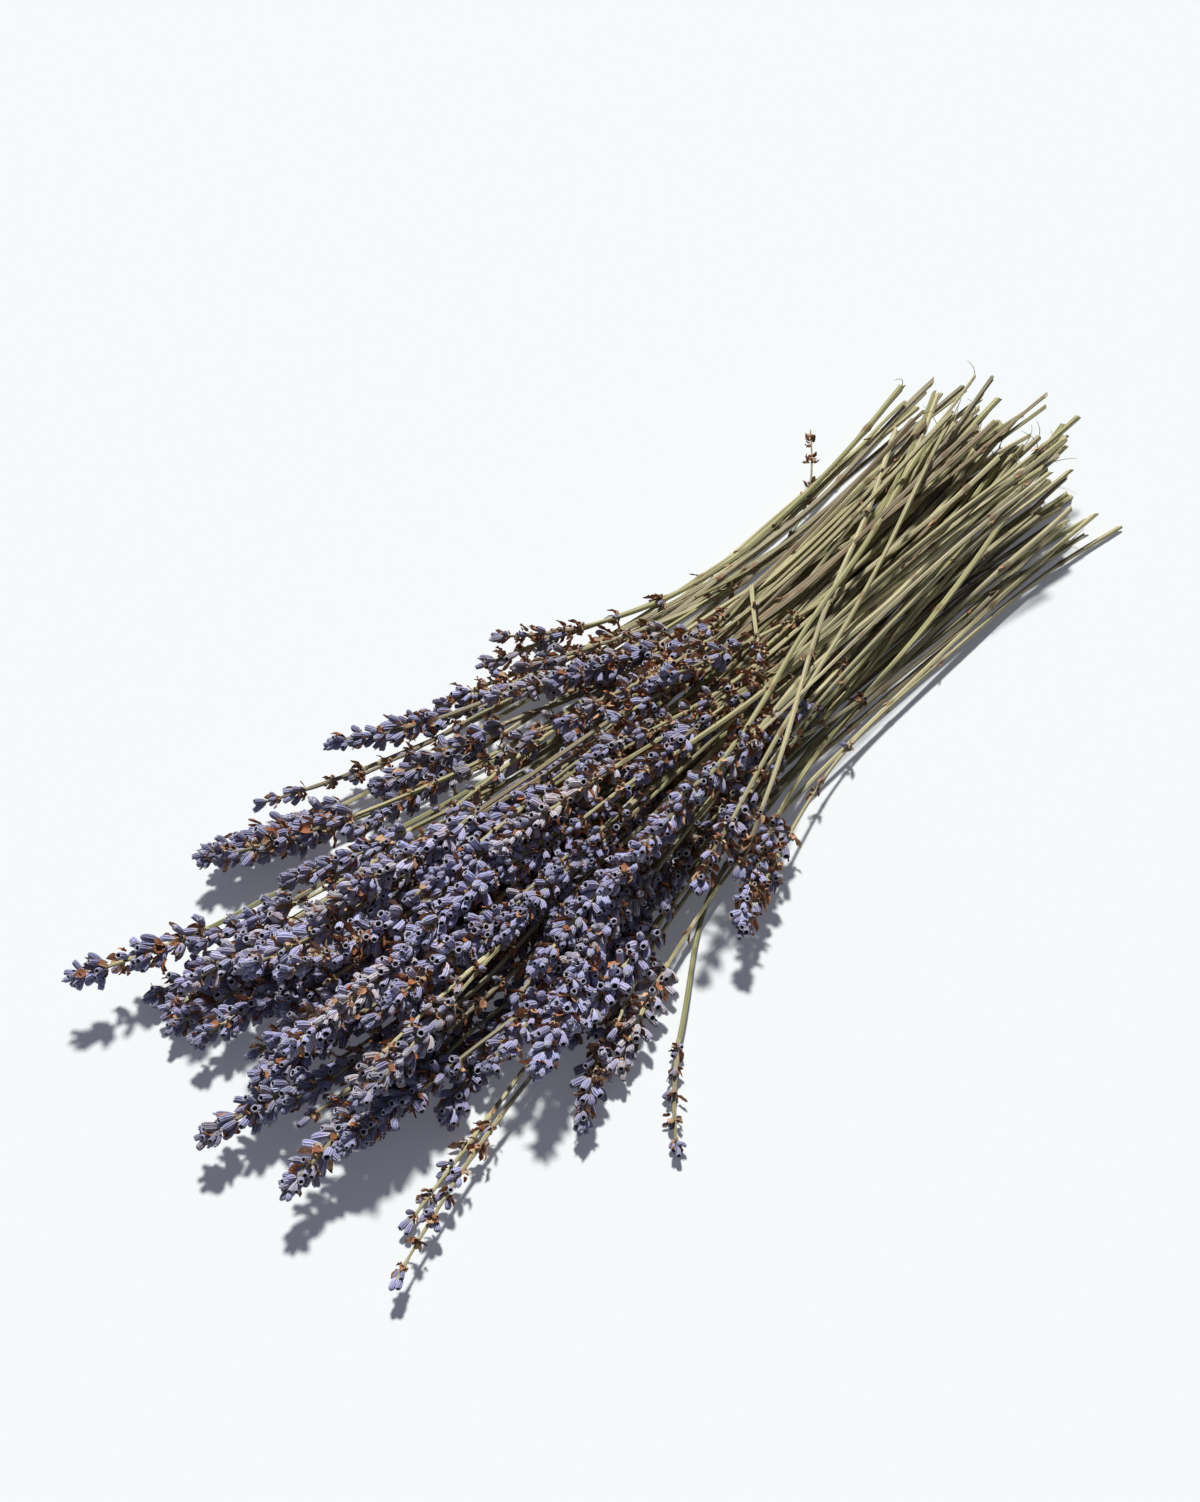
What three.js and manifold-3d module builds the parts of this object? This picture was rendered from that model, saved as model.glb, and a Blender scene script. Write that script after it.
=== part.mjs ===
// A loose bunch of dried lavender, lying down. Millimetres, +Z up.
// +X runs from the flower heads to the cut ends of the stems.
// Every stalk is a chain of points from its cut end, up its stem, to the tip of its head.
// The stalks start in layers, then settle on the ground and on each other.

import * as THREE from 'three';
import { mergeVertices } from 'three/addons/utils/BufferGeometryUtils.js';
import Module from 'manifold-3d';

// Driving dimensions.
const STEM_SIDE = 1.9;
const HEAD_RADIUS = 6.3;
const HEAD_LENGTH = 48;
const WHORL_PITCH = 9.8;
const CALYCES = 3;
const STALK_COUNT = 84;
const NODE_COUNT = 60;
const STEM_NODES = 22;
const MOST_STEMS = 6;
const MOST_HEADS = 3;
const CLEARANCE = 0.45;
const STEM_TO_HEAD_GAP = 0.5;

// How the bunch lies: its half widths, its middle line and where its two ends are.
const MIDDLE_Y = -20;
const HEADS_START_X = -162;
const HEADS_SPREAD_X = 178;
const HEADS_HALF_WIDTH = 56;
const HEADS_TAPER = 0.3;
const FRONT_SHARE = 0.22;
const CUT_X = 186;
const CUT_Y = -22;
const CUT_HALF_WIDTH = 29;
const CUT_LEAN = 9;
const WAIST = 0.39;
const LAYERS = 6;
const LAYER_STEP = 14;
const FIRST_LAYER_Z = 9;
const CUT_LAYER_STEP = 13.5;
const TIP_LAYER_STEP = 9;
const CUT_LOW_Z = 2;
const TIP_LOW_Z = 7;
const LAYER_NARROWING = 0.08;
const SPREAD_RATIO = 0.618034;

// How the stalks of the pile differ from each other. A pair is the least and the most.
const SPARSE_SHARE = 0.1;
const SIDE_SHIFT = [-0.12, 0.12];
const TIP_SHIFT = [-5, 5];
const CUT_SHIFT = [-30, 12];
const CUT_SIDE = [-1, 1];
const LENGTH_RANGE = [0.75, 1.12];
const SPARSE_GIRTH = [0.5, 0.65];
const FULL_GIRTH = [0.88, 1.05];
const BACK_SLIMMING = 0.32;
const BOW_RANGE = [-7, 7];

// The faceted heads and stems.
const FEWEST_WHORLS = 3;
const SPARSE_PITCH = 1.15;
const FULL_CORE = 0.4;
const SPARSE_CORE = 0.3;
const ROOT_AT = 0.12;
const MOUTH_AT = 1.05;
const LAST_MOUTH = 0.985;
const GIRTH_AT = 0.6;
const GIRTH_START = 0.62;
const GIRTH_SWELL = 1.5;
const GIRTH_TAPER = 0.12;
const NECK_OUTER = 1.1;
const NECK_INNER = 0.9;
const REACH_RANGE = [0.9, 1.04];
const STEM_TAPER = 0.18;
const WELD = 1e-4;
const GROUND_BLOCK = [900, 600, 60];

// The chain of a stalk.
const STEM_POINTS = 6;
const CHAIN = STEM_POINTS + 2;
const BASE = STEM_POINTS - 1;
const STEM_RADIUS = STEM_SIDE * Math.SQRT1_2;
const BASE_SHARE = 0.7;
const TIP_SHARE = 0.6;

// Settling.
const LOOSE_STEPS = 240;
const TIED_STEPS = 150;
const CLEARING_STEPS = 200;
const PUSHES = 3;
const REFRESH = 10;
const REACH = 5;
const SINK = 0.32;
const STIFFNESS = 0.35;
const CUT_ANCHOR = 0.06;
const TIP_ANCHOR = 0.15;
const HEAD_SQUEEZE = 0.56;
const TIE_SPAN = 0.6;
const STEM_TOUCH = 0.9;
const FLOOR_BITE = 0.25;
const HEAD_REST = 0.84;
const NEARLY_NOTHING = 1e-6;

const SEED = 13;

// mulberry32: the same seed always gives the same bunch.
function makeRandom(seed) {
  let state = seed;
  return () => {
    state = (state + 0x6d2b79f5) | 0;
    let t = Math.imul(state ^ (state >>> 15), 1 | state);
    t = (t + Math.imul(t ^ (t >>> 7), 61 | t)) ^ t;
    return ((t ^ (t >>> 14)) >>> 0) / 4294967296;
  };
}

const random = makeRandom(SEED);

function between(low, high) {
  return low + (high - low) * random();
}

// Stalks that stand out of the outline, placed by hand:
// tip x, y; cut end x, y; layer; head length; head girth; sideways bow; kind.
const PLACED = [
  [-174, 39, 190, -32, 3, 40, 1.0, 4, 'full'],
  [-158, 25, 188, -18, 2, 38, 1.0, 3, 'full'],
  [-161, 20, 183, -8, 1, 36, 0.95, 2, 'full'],
  [-165, 8, 178, -52, 0, 36, 1.0, 0, 'full'],
  [-124, 43, 176, -42, 2, 38, 0.9, 5, 'full'],
  [-114, 34, 193, 0, 3, 40, 1.0, 3, 'full'],
  [-112, 57, 178, 14, 0, 40, 0.95, 6, 'full'],
  [-93, 49, 184, 18, 1, 34, 0.55, 3, 'sparse'],
  [-68, 48, 195, 8, 3, 34, 0.8, 2, 'full'],
  [-45, 47, 190, 12, 3, 34, 0.72, 2, 'full'],
  [-23, 44, 186, 16, 2, 32, 0.66, 0, 'full'],
  [0, 40, 176, 14, 4, 28, 0.62, 0, 'full'],
  [-184, -14, 172, -56, 1, 36, 1.0, 3, 'full'],
  [-187, -44, 186, -36, 0, 36, 1.0, -4, 'full'],
  [-184, -77, 170, -46, 0, 60, 0.62, -3, 'sparse'],
  [-111, -74, 173, 13, 4, 44, 1.0, 0, 'full'],
  [-113, -86, 182, -22, 0, 44, 1.0, 5, 'full'],
  [-89, -82, 178, -44, 1, 38, 1.0, 2, 'full'],
  [-91, -70, 195, -24, 3, 46, 1.05, 2, 'full'],
  [-96, -114, 177, -46, 0, 30, 0.5, 27, 'sparse'],
  [-35, -83, 184, -54, 1, 42, 0.72, 4, 'full'],
  [-30, -76, 162, -40, 4, 44, 0.7, 0, 'full'],
  [14, -55, 172, -48, 3, 26, 0.62, 0, 'full'],
  [142, 33, 60, 8, 2, 26, 0.45, 2, 'sparse'],
];

// A placed stalk as a description.
function placedStalk(row) {
  const [tipX, tipY, cutX, cutY, layer, headLength, girth, bow, kind] = row;
  return { tipX, tipY, cutX, cutY, layer, headLength, girth, bow, kind };
}

// A stalk of the pile, drawn by a rule: the heads fan out and the cut ends stay together.
function drawnStalk(index, count) {
  const layer = index % LAYERS;
  const side = 2 * ((index * SPREAD_RATIO) % 1) - 1 + between(...SIDE_SHIFT);
  const along = random();
  const narrow = 1 - LAYER_NARROWING * layer;
  const width = HEADS_HALF_WIDTH * narrow * (1 - HEADS_TAPER * along);
  const share = (index + random()) / count;
  const back = share * (FRONT_SHARE + (1 - FRONT_SHARE) * share);
  const sparse = random() < SPARSE_SHARE;
  const tipX = HEADS_START_X + HEADS_SPREAD_X * back + between(...TIP_SHIFT);
  const tipY = MIDDLE_Y + side * width;
  const cutX = CUT_X + between(...CUT_SHIFT);
  const cutY = CUT_Y + CUT_HALF_WIDTH * narrow * between(...CUT_SIDE) + side * CUT_LEAN;
  const headLength = HEAD_LENGTH * between(...LENGTH_RANGE);
  const slim = sparse ? 1 : 1 - BACK_SLIMMING * back;
  const girth = slim * between(...(sparse ? SPARSE_GIRTH : FULL_GIRTH));
  const bow = between(...BOW_RANGE);
  const kind = sparse ? 'sparse' : 'full';
  return { tipX, tipY, cutX, cutY, layer, headLength, girth, bow, kind };
}

// The chain of points of a stalk before it settles. Half way it is drawn in to the middle line.
function layOut(stalk) {
  const dx = stalk.tipX - stalk.cutX;
  const dy = stalk.tipY - stalk.cutY;
  const length = Math.sqrt(dx * dx + dy * dy);
  const stemLength = length - stalk.headLength;
  const points = [];
  for (let i = 0; i < CHAIN; i += 1) {
    const inStem = Math.min(i, BASE) / BASE;
    const inHead = Math.max(i - BASE, 0) / 2;
    const t = (inStem * stemLength + inHead * stalk.headLength) / length;
    const half = 4 * t * (1 - t);
    const side = (half * stalk.bow) / length;
    const x = stalk.cutX + dx * t + dy * side;
    const y = stalk.cutY + dy * t - dx * side;
    const z = FIRST_LAYER_Z + LAYER_STEP * stalk.layer;
    points.push([x, y + (MIDDLE_Y - y) * half * WAIST, z]);
  }
  return points;
}

// Rest lengths between the points, and how thick the stalk is at each end of each part.
function measure(stalk) {
  const { points } = stalk;
  const thick = HEAD_RADIUS * stalk.girth;
  stalk.lengths = [];
  stalk.radii = [];
  for (let i = 0; i + 1 < CHAIN; i += 1) {
    const d = [0, 1, 2].map((k) => points[i + 1][k] - points[i][k]);
    stalk.lengths.push(Math.sqrt(d[0] * d[0] + d[1] * d[1] + d[2] * d[2]));
    stalk.radii.push([STEM_RADIUS, STEM_RADIUS]);
  }
  stalk.radii[BASE] = [thick * BASE_SHARE, thick];
  stalk.radii[BASE + 1] = [thick, thick * TIP_SHARE];
}

function makeStalks() {
  const stalks = PLACED.map(placedStalk);
  const drawn = STALK_COUNT - stalks.length;
  for (let i = 0; i < drawn; i += 1) {
    stalks.push(drawnStalk(i, drawn));
  }
  for (const stalk of stalks) {
    stalk.turn = between(0, 2 * Math.PI);
    stalk.points = layOut(stalk);
    measure(stalk);
  }
  return stalks;
}

// The segments of all stalks. All points are in one list: stalk s has points s * CHAIN to
// s * CHAIN + CHAIN - 1, and segment k of it runs between its points k and k + 1.
function segmentsOf(stalks) {
  const segments = [];
  stalks.forEach((stalk, s) => {
    stalk.radii.forEach(([r0, r1], k) => {
      const low = k === BASE ? 1 - TIE_SPAN : 0;
      const high = k === BASE + 1 ? TIE_SPAN : 1;
      segments.push({ s, k, at: s * CHAIN + k, r0, r1, low, high, head: k >= BASE });
    });
  });
  return segments;
}

function clamp(value) {
  return Math.min(1, Math.max(0, value));
}

// The nearest points of two segments, as shares along each, and the vector between them.
function nearest(a0, a1, b0, b1) {
  const [ux, uy, uz] = [a1[0] - a0[0], a1[1] - a0[1], a1[2] - a0[2]];
  const [vx, vy, vz] = [b1[0] - b0[0], b1[1] - b0[1], b1[2] - b0[2]];
  const [wx, wy, wz] = [a0[0] - b0[0], a0[1] - b0[1], a0[2] - b0[2]];
  const a = ux * ux + uy * uy + uz * uz;
  const b = ux * vx + uy * vy + uz * vz;
  const c = vx * vx + vy * vy + vz * vz;
  const d = ux * wx + uy * wy + uz * wz;
  const e = vx * wx + vy * wy + vz * wz;
  const first = clamp((b * e - c * d) / Math.max(a * c - b * b, NEARLY_NOTHING));
  const t = clamp((b * first + e) / c);
  const s = clamp((b * t - d) / a);
  return [s, t, wx + ux * s - vx * t, wy + uy * s - vy * t, wz + uz * s - vz * t];
}

// The same for the parts of two segments that may be tied, which leave out the ends of heads.
function nearestTied(points, p, q) {
  const ends = [p, q].flatMap(({ at, low, high }) => {
    const [a, b] = [points[at], points[at + 1]];
    return [low, high].map((share) => a.map((value, k) => value + (b[k] - value) * share));
  });
  const [s, t, x, y, z] = nearest(ends[0], ends[1], ends[2], ends[3]);
  return [p.low + (p.high - p.low) * s, q.low + (q.high - q.low) * t, x, y, z];
}

function distance(points, p, q) {
  const [, , x, y, z] = nearestTied(points, p, q);
  return Math.sqrt(x * x + y * y + z * z);
}

// Segments of different stalks that could soon touch.
function nearPairs(points, segments, joined) {
  const boxes = segments.map(({ at, r0, r1 }) => {
    const room = Math.max(r0, r1) + REACH / 2;
    const [p, q] = [points[at], points[at + 1]];
    return [
      [0, 1, 2].map((i) => Math.min(p[i], q[i]) - room),
      [0, 1, 2].map((i) => Math.max(p[i], q[i]) + room),
    ];
  });
  const pairs = [];
  for (let i = 0; i < segments.length; i += 1) {
    for (let j = (segments[i].s + 1) * (CHAIN - 1); j < segments.length; j += 1) {
      if (boxesMeet(boxes[i], boxes[j]) && !joined.has(pairKey(segments[i], segments[j]))) {
        pairs.push({ p: segments[i], q: segments[j], scale: 1, room: CLEARANCE, pull: false });
      }
    }
  }
  return pairs;
}

function pairKey(p, q) {
  return p.at * STALK_COUNT * CHAIN + q.at;
}

function boxesMeet([lowA, highA], [lowB, highB]) {
  return [0, 1, 2].every((i) => lowA[i] <= highB[i] && lowB[i] <= highA[i]);
}

// Moves every pair that is too near apart, and every tied pair that is too far together.
function relax(points, pairs) {
  const moves = points.map(() => [0, 0, 0, 0]);
  for (const { p, q, scale, room, pull } of pairs) {
    const [s, t, x, y, z] = pull
      ? nearestTied(points, p, q)
      : nearest(points[p.at], points[p.at + 1], points[q.at], points[q.at + 1]);
    const gap = Math.max(Math.sqrt(x * x + y * y + z * z), NEARLY_NOTHING);
    const sum = p.r0 + (p.r1 - p.r0) * s + q.r0 + (q.r1 - q.r0) * t;
    const missing = sum * scale + room - gap;
    if (pull ? missing < 0 : missing > 0) {
      const half = (0.5 * missing) / gap;
      addMove(moves, p.at, s, x * half, y * half, z * half);
      addMove(moves, q.at, t, -x * half, -y * half, -z * half);
    }
  }
  points.forEach((point, i) => {
    const share = 1 / Math.max(1, moves[i][3]);
    for (let k = 0; k < 3; k += 1) {
      point[k] += moves[i][k] * share;
    }
  });
}

// Shares a move out between the two ends of a segment.
function addMove(moves, at, share, x, y, z) {
  const near = 1 - share;
  const weight = 1 / (near * near + share * share);
  [[moves[at], near], [moves[at + 1], share]].forEach(([move, part]) => {
    move[0] += x * part * weight;
    move[1] += y * part * weight;
    move[2] += z * part * weight;
    move[3] += part * weight;
  });
}

// Joins the stalks whose given segments lie nearest to each other, until there are few enough
// clusters or all of them are full. Says which stalks each cluster has, and what ties them.
function cluster(points, segments, wanted, most) {
  const found = [];
  for (const p of segments) {
    for (const q of segments) {
      if (p.s < q.s) {
        found.push([distance(points, p, q) - (p.r0 + p.r1 + q.r0 + q.r1) / 2, p, q]);
      }
    }
  }
  found.sort((a, b) => a[0] - b[0]);
  const clusters = Array.from({ length: STALK_COUNT }, (_, s) => [s]);
  const ties = [];
  let left = STALK_COUNT;
  for (const [, p, q] of found) {
    const [a, b] = [clusters[p.s], clusters[q.s]];
    if (left > wanted && a !== b && a.length + b.length <= most) {
      a.push(...b);
      b.forEach((s) => {
        clusters[s] = a;
      });
      ties.push([p, q]);
      left -= 1;
    }
  }
  return { members: [...new Set(clusters)], ties };
}

// Pairs of segments at a tie, which are allowed to run into each other.
function joinedKeys(segments, ties) {
  const joined = new Set();
  for (const { p, q } of ties) {
    const [a, b] = p.s < q.s ? [p, q] : [q, p];
    const near = (c) => segments.filter(({ s, k, head }) => (
      s === c.s && head === c.head && (head || Math.abs(k - c.k) <= 1)));
    near(a).forEach((m) => near(b).forEach((n) => joined.add(pairKey(m, n))));
  }
  return joined;
}

// Keeps a stalk's slight bow, then its length.
function stiffen(points, start, { lengths, rest }) {
  for (let i = 1; i + 1 < CHAIN; i += 1) {
    const share = lengths[i - 1] / (lengths[i - 1] + lengths[i]);
    const [p, c, q] = [0, 1, 2].map((n) => points[start + i - 1 + n]);
    for (let k = 0; k < 3; k += 1) {
      const off = (p[k] + (q[k] - p[k]) * share + rest[i][k] - c[k]) * STIFFNESS;
      c[k] += off * 0.5;
      p[k] -= off * 0.25;
      q[k] -= off * 0.25;
    }
  }
  for (let i = 0; i + 1 < CHAIN; i += 1) {
    const [p, q] = [points[start + i], points[start + i + 1]];
    const d = [0, 1, 2].map((k) => q[k] - p[k]);
    const length = Math.sqrt(d[0] * d[0] + d[1] * d[1] + d[2] * d[2]);
    const move = (0.5 * (length - lengths[i])) / length;
    for (let k = 0; k < 3; k += 1) {
      p[k] += d[k] * move;
      q[k] -= d[k] * move;
    }
  }
}

// How far each point stands off the line between its neighbours when nothing pushes it.
function restShape({ points, lengths }) {
  return points.map((point, i) => {
    if (i === 0 || i + 1 === CHAIN) {
      return [0, 0, 0];
    }
    const share = lengths[i - 1] / (lengths[i - 1] + lengths[i]);
    const [p, q] = [points[i - 1], points[i + 1]];
    return point.map((value, k) => value - (p[k] + (q[k] - p[k]) * share));
  });
}

// The lowest a point of a stalk may lie. What lies on the ground bites a little into it,
// which leaves a small flat spot.
function lowest({ radii }, i) {
  if (i < BASE) {
    return STEM_SIDE / 2 - FLOOR_BITE;
  }
  const part = Math.min(i, CHAIN - 2);
  return radii[part][i - part] * HEAD_REST;
}

// Where the two ends of a stalk tend to stay.
function placesOf({ points, layer }) {
  const [cut, tip] = [points[0], points[CHAIN - 1]];
  return [
    [cut[0], cut[1], CUT_LOW_Z + CUT_LAYER_STEP * layer],
    [tip[0], tip[1], TIP_LOW_Z + TIP_LAYER_STEP * layer],
  ];
}

function anchor(point, place, share) {
  for (let k = 0; k < 3; k += 1) {
    point[k] += (place[k] - point[k]) * share;
  }
}

// Lets the stalks sink, and then only pushes them clear of each other.
function settle(stalks, points, ties, falling, clearing) {
  const segments = segmentsOf(stalks);
  const joined = joinedKeys(segments, ties);
  let pairs = [];
  for (let step = 0; step < falling + clearing; step += 1) {
    if (step % REFRESH === 0) {
      pairs = [...ties, ...nearPairs(points, segments, joined)];
    }
    stalks.forEach((stalk, s) => {
      const start = s * CHAIN;
      if (step < falling) {
        anchor(points[start], stalk.places[0], CUT_ANCHOR);
        anchor(points[start + CHAIN - 1], stalk.places[1], TIP_ANCHOR);
      }
      stiffen(points, start, stalk);
    });
    if (step < falling) {
      points.forEach((point) => {
        point[2] -= SINK;
      });
    }
    for (let n = 0; n < PUSHES; n += 1) {
      relax(points, pairs);
      points.forEach((point, i) => {
        point[2] = Math.max(point[2], lowest(stalks[Math.floor(i / CHAIN)], i % CHAIN));
      });
    }
  }
}

// Lays the bunch: first loose, then with the members of each node pressed together.
function layBunch(stalks) {
  const points = stalks.flatMap((stalk) => stalk.points);
  for (const stalk of stalks) {
    stalk.rest = restShape(stalk);
    stalk.places = placesOf(stalk);
  }
  settle(stalks, points, [], LOOSE_STEPS, 0);
  const segments = segmentsOf(stalks);
  const inner = segments.filter(({ k }) => k > 0 && k < BASE - 1);
  const stems = cluster(points, inner, STEM_NODES, MOST_STEMS);
  const headsWanted = NODE_COUNT - stems.members.length;
  const full = segments.filter(({ s, head }) => head && stalks[s].kind === 'full');
  const heads = cluster(points, full, headsWanted, MOST_HEADS);
  const ties = [
    ...stems.ties.map(([p, q]) => ({ p, q, scale: 0, room: STEM_TOUCH, pull: true })),
    ...heads.ties.map(([p, q]) => ({ p, q, scale: HEAD_SQUEEZE, room: 0, pull: true })),
  ];
  settle(stalks, points, ties, TIED_STEPS, CLEARING_STEPS);
  return { stems: stems.members, heads: heads.members };
}

// A closed mesh as a solid, and back.
const wasm = await Module();
wasm.setup();

function toSolid(geometry) {
  const bare = geometry.index ? geometry.clone() : geometry;
  bare.deleteAttribute('normal');
  bare.deleteAttribute('uv');
  const merged = mergeVertices(bare, WELD);
  return new wasm.Manifold(new wasm.Mesh({
    numProp: 3,
    vertProperties: new Float32Array(merged.attributes.position.array),
    triVerts: new Uint32Array(merged.index.array),
  }));
}

function toGeometry(solid) {
  const mesh = solid.getMesh();
  const geometry = new THREE.BufferGeometry();
  geometry.setAttribute('position', new THREE.BufferAttribute(mesh.vertProperties, 3));
  geometry.setIndex(new THREE.BufferAttribute(mesh.triVerts, 1));
  return geometry;
}

function vector(point) {
  return new THREE.Vector3(point[0], point[1], point[2]);
}

// A skin over rings of points, closed at each end. A tip, where there is one, is the last point.
function skin(rings, tip) {
  const sides = rings[0].length;
  const vertices = tip ? [...rings.flat(), tip] : rings.flat();
  const last = (rings.length - 1) * sides;
  const index = [];
  for (let r = 0; r + 1 < rings.length; r += 1) {
    for (let i = 0; i < sides; i += 1) {
      const j = (i + 1) % sides;
      const a = r * sides + i;
      const b = r * sides + j;
      index.push(a, b, a + sides, b, b + sides, a + sides);
    }
  }
  for (let i = 1; i + 1 < sides; i += 1) {
    index.push(0, i + 1, i);
    if (!tip) {
      index.push(last, last + i, last + i + 1);
    }
  }
  for (let i = 0; tip && i < sides; i += 1) {
    index.push(last + sides, last + i, last + ((i + 1) % sides));
  }
  const geometry = new THREE.BufferGeometry();
  const flat = vertices.flatMap((v) => [v.x, v.y, v.z]);
  geometry.setAttribute('position', new THREE.Float32BufferAttribute(flat, 3));
  geometry.setIndex(index);
  return geometry;
}

// A square frame at each point of a line, with one side facing down.
function framesAlong(line) {
  const up = new THREE.Vector3(0, 0, 1);
  return line.map((point, i) => {
    const before = line[Math.max(i - 1, 0)];
    const after = line[Math.min(i + 1, line.length - 1)];
    const along = after.clone().sub(before).normalize();
    const side = up.clone().cross(along).normalize();
    return { point, side, rise: along.cross(side) };
  });
}

// A square stem that tapers a little towards its head.
function stemGeometry(stalk) {
  const line = stalk.points.slice(0, STEM_POINTS).map(vector);
  const tail = line[BASE].clone().sub(line[BASE - 1]).setLength(STEM_TO_HEAD_GAP);
  line[BASE].sub(tail);
  const rings = framesAlong(line).map(({ point, side, rise }, i) => {
    const half = (STEM_SIDE / 2) * (1 - (STEM_TAPER * i) / BASE);
    return [[-1, -1], [1, -1], [1, 1], [-1, 1]].map(([u, v]) => point.clone()
      .addScaledVector(side, u * half)
      .addScaledVector(rise, v * half));
  });
  return skin(rings);
}

// Half the girth of a head at a share of its length.
function girthAt(share) {
  return GIRTH_START + GIRTH_SWELL * share * (1 - share) - GIRTH_TAPER * share;
}

// A head: whorls of calyces that point forward and stand out of a slim core.
function headGeometry(stalk) {
  const [base, middle, tip] = stalk.points.slice(BASE).map(vector);
  const curve = new THREE.QuadraticBezierCurve3(
    base,
    middle.clone().multiplyScalar(2).sub(base.clone().add(tip).multiplyScalar(0.5)),
    tip,
  );
  const sparse = stalk.kind === 'sparse';
  const pitch = WHORL_PITCH * (sparse ? SPARSE_PITCH : 1);
  const whorls = Math.max(FEWEST_WHORLS, Math.round(curve.getLength() / pitch));
  const radius = HEAD_RADIUS * stalk.girth;
  const core = sparse ? SPARSE_CORE : FULL_CORE;
  const rings = [];
  for (let w = 0; w < whorls; w += 1) {
    const root = w === 0 ? 0 : (w + ROOT_AT) / whorls;
    const mouth = Math.min((w + MOUTH_AT) / whorls, LAST_MOUTH);
    const turn = stalk.turn + (w * Math.PI) / CALYCES;
    const wide = radius * girthAt((w + GIRTH_AT) / whorls);
    const neck = w === 0 ? STEM_SIDE / 2 : wide * core;
    rings.push(whorlRing(curve, root, turn, neck * NECK_OUTER, neck * NECK_INNER));
    rings.push(whorlRing(curve, mouth, turn, wide, wide * core));
  }
  return skin(rings, curve.getPointAt(1));
}

// A ring of points of which every other one reaches out, and the ones between them stay in.
function whorlRing(curve, share, turn, outer, inner) {
  const point = curve.getPointAt(share);
  const along = curve.getTangentAt(share);
  const side = new THREE.Vector3(0, 0, 1).cross(along).normalize();
  const rise = along.clone().cross(side);
  const ring = [];
  for (let i = 0; i < 2 * CALYCES; i += 1) {
    const angle = turn + (i * Math.PI) / CALYCES;
    const reach = i % 2 === 0 ? outer * between(...REACH_RANGE) : inner;
    ring.push(point.clone()
      .addScaledVector(side, Math.cos(angle) * reach)
      .addScaledVector(rise, Math.sin(angle) * reach));
  }
  return ring;
}

// Everything below the ground plane, to be cut away.
function belowGround() {
  const box = new THREE.BoxGeometry(...GROUND_BLOCK);
  box.translate(0, 0, -GROUND_BLOCK[2] / 2);
  return toSolid(box);
}

function fuse(geometries) {
  return geometries.map(toSolid).reduce((whole, solid) => whole.add(solid));
}

const STEM_COLOURS = [0xa5a073, 0x9a9464, 0xb0a67c, 0x8f8c5f, 0xa8966c];
const HEAD_COLOURS = [0x77779f, 0x6a6b95, 0x82809f, 0x5f5f88, 0x7a7590];

function material(colours, index, roughness) {
  return new THREE.MeshStandardMaterial({
    color: colours[index % colours.length],
    roughness,
    metalness: 0,
  });
}

const stalks = makeStalks();
const nodes = layBunch(stalks);
const ground = belowGround();
const group = new THREE.Group();

function addNode(name, geometries, look) {
  const mesh = new THREE.Mesh(toGeometry(fuse(geometries).subtract(ground)), look);
  mesh.name = name;
  group.add(mesh);
}

function number(n) {
  return String(n + 1).padStart(2, '0');
}

nodes.stems.forEach((members, n) => {
  const parts = members.map((s) => stemGeometry(stalks[s]));
  addNode(`stems_${number(n)}`, parts, material(STEM_COLOURS, n, 0.75));
});
nodes.heads.forEach((members, n) => {
  const parts = members.map((s) => headGeometry(stalks[s]));
  addNode(`heads_${number(n)}`, parts, material(HEAD_COLOURS, n, 0.85));
});

// The origin is the middle of the bunch, on the surface that it lies on.
const box = new THREE.Box3().setFromObject(group);
const middle = box.getCenter(new THREE.Vector3());
group.position.set(-middle.x, -middle.y, -box.min.z);

export default group;
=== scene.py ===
"""A loose bunch of dried lavender, lying down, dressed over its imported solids.

Every stalk is laid again by the part's own rule, so that each fine piece stands where its solid
stands. Lengths in the layout are in millimetres, and everything that is shown is in metres.
"""

import logging
import math
from dataclasses import dataclass, field
from enum import Enum
from typing import Callable, Iterator, Optional, Union

import bpy
import numpy as np
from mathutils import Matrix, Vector


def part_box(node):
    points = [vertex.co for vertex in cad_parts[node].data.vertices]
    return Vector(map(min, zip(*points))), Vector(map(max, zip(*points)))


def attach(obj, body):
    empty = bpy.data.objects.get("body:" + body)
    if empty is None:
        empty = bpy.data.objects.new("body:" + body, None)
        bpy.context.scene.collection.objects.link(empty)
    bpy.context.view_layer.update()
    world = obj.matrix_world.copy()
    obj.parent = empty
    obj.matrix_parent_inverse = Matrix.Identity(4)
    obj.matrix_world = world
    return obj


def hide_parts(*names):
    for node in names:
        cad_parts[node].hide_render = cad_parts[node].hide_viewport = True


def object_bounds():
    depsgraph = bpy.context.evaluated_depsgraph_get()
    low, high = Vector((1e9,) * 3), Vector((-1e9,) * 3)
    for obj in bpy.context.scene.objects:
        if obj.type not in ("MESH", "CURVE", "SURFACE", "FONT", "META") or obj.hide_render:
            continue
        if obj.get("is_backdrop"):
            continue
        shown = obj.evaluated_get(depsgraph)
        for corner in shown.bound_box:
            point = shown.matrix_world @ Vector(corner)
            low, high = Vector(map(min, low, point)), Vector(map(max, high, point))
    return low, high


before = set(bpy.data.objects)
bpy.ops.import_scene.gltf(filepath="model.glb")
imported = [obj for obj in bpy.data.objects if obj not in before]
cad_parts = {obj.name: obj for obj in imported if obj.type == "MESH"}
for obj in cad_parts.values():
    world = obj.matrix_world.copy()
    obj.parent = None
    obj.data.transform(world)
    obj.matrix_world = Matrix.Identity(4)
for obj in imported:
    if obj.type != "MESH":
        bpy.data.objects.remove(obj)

Array = np.ndarray
Random = np.random.Generator
Span = tuple[float, float]
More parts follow.
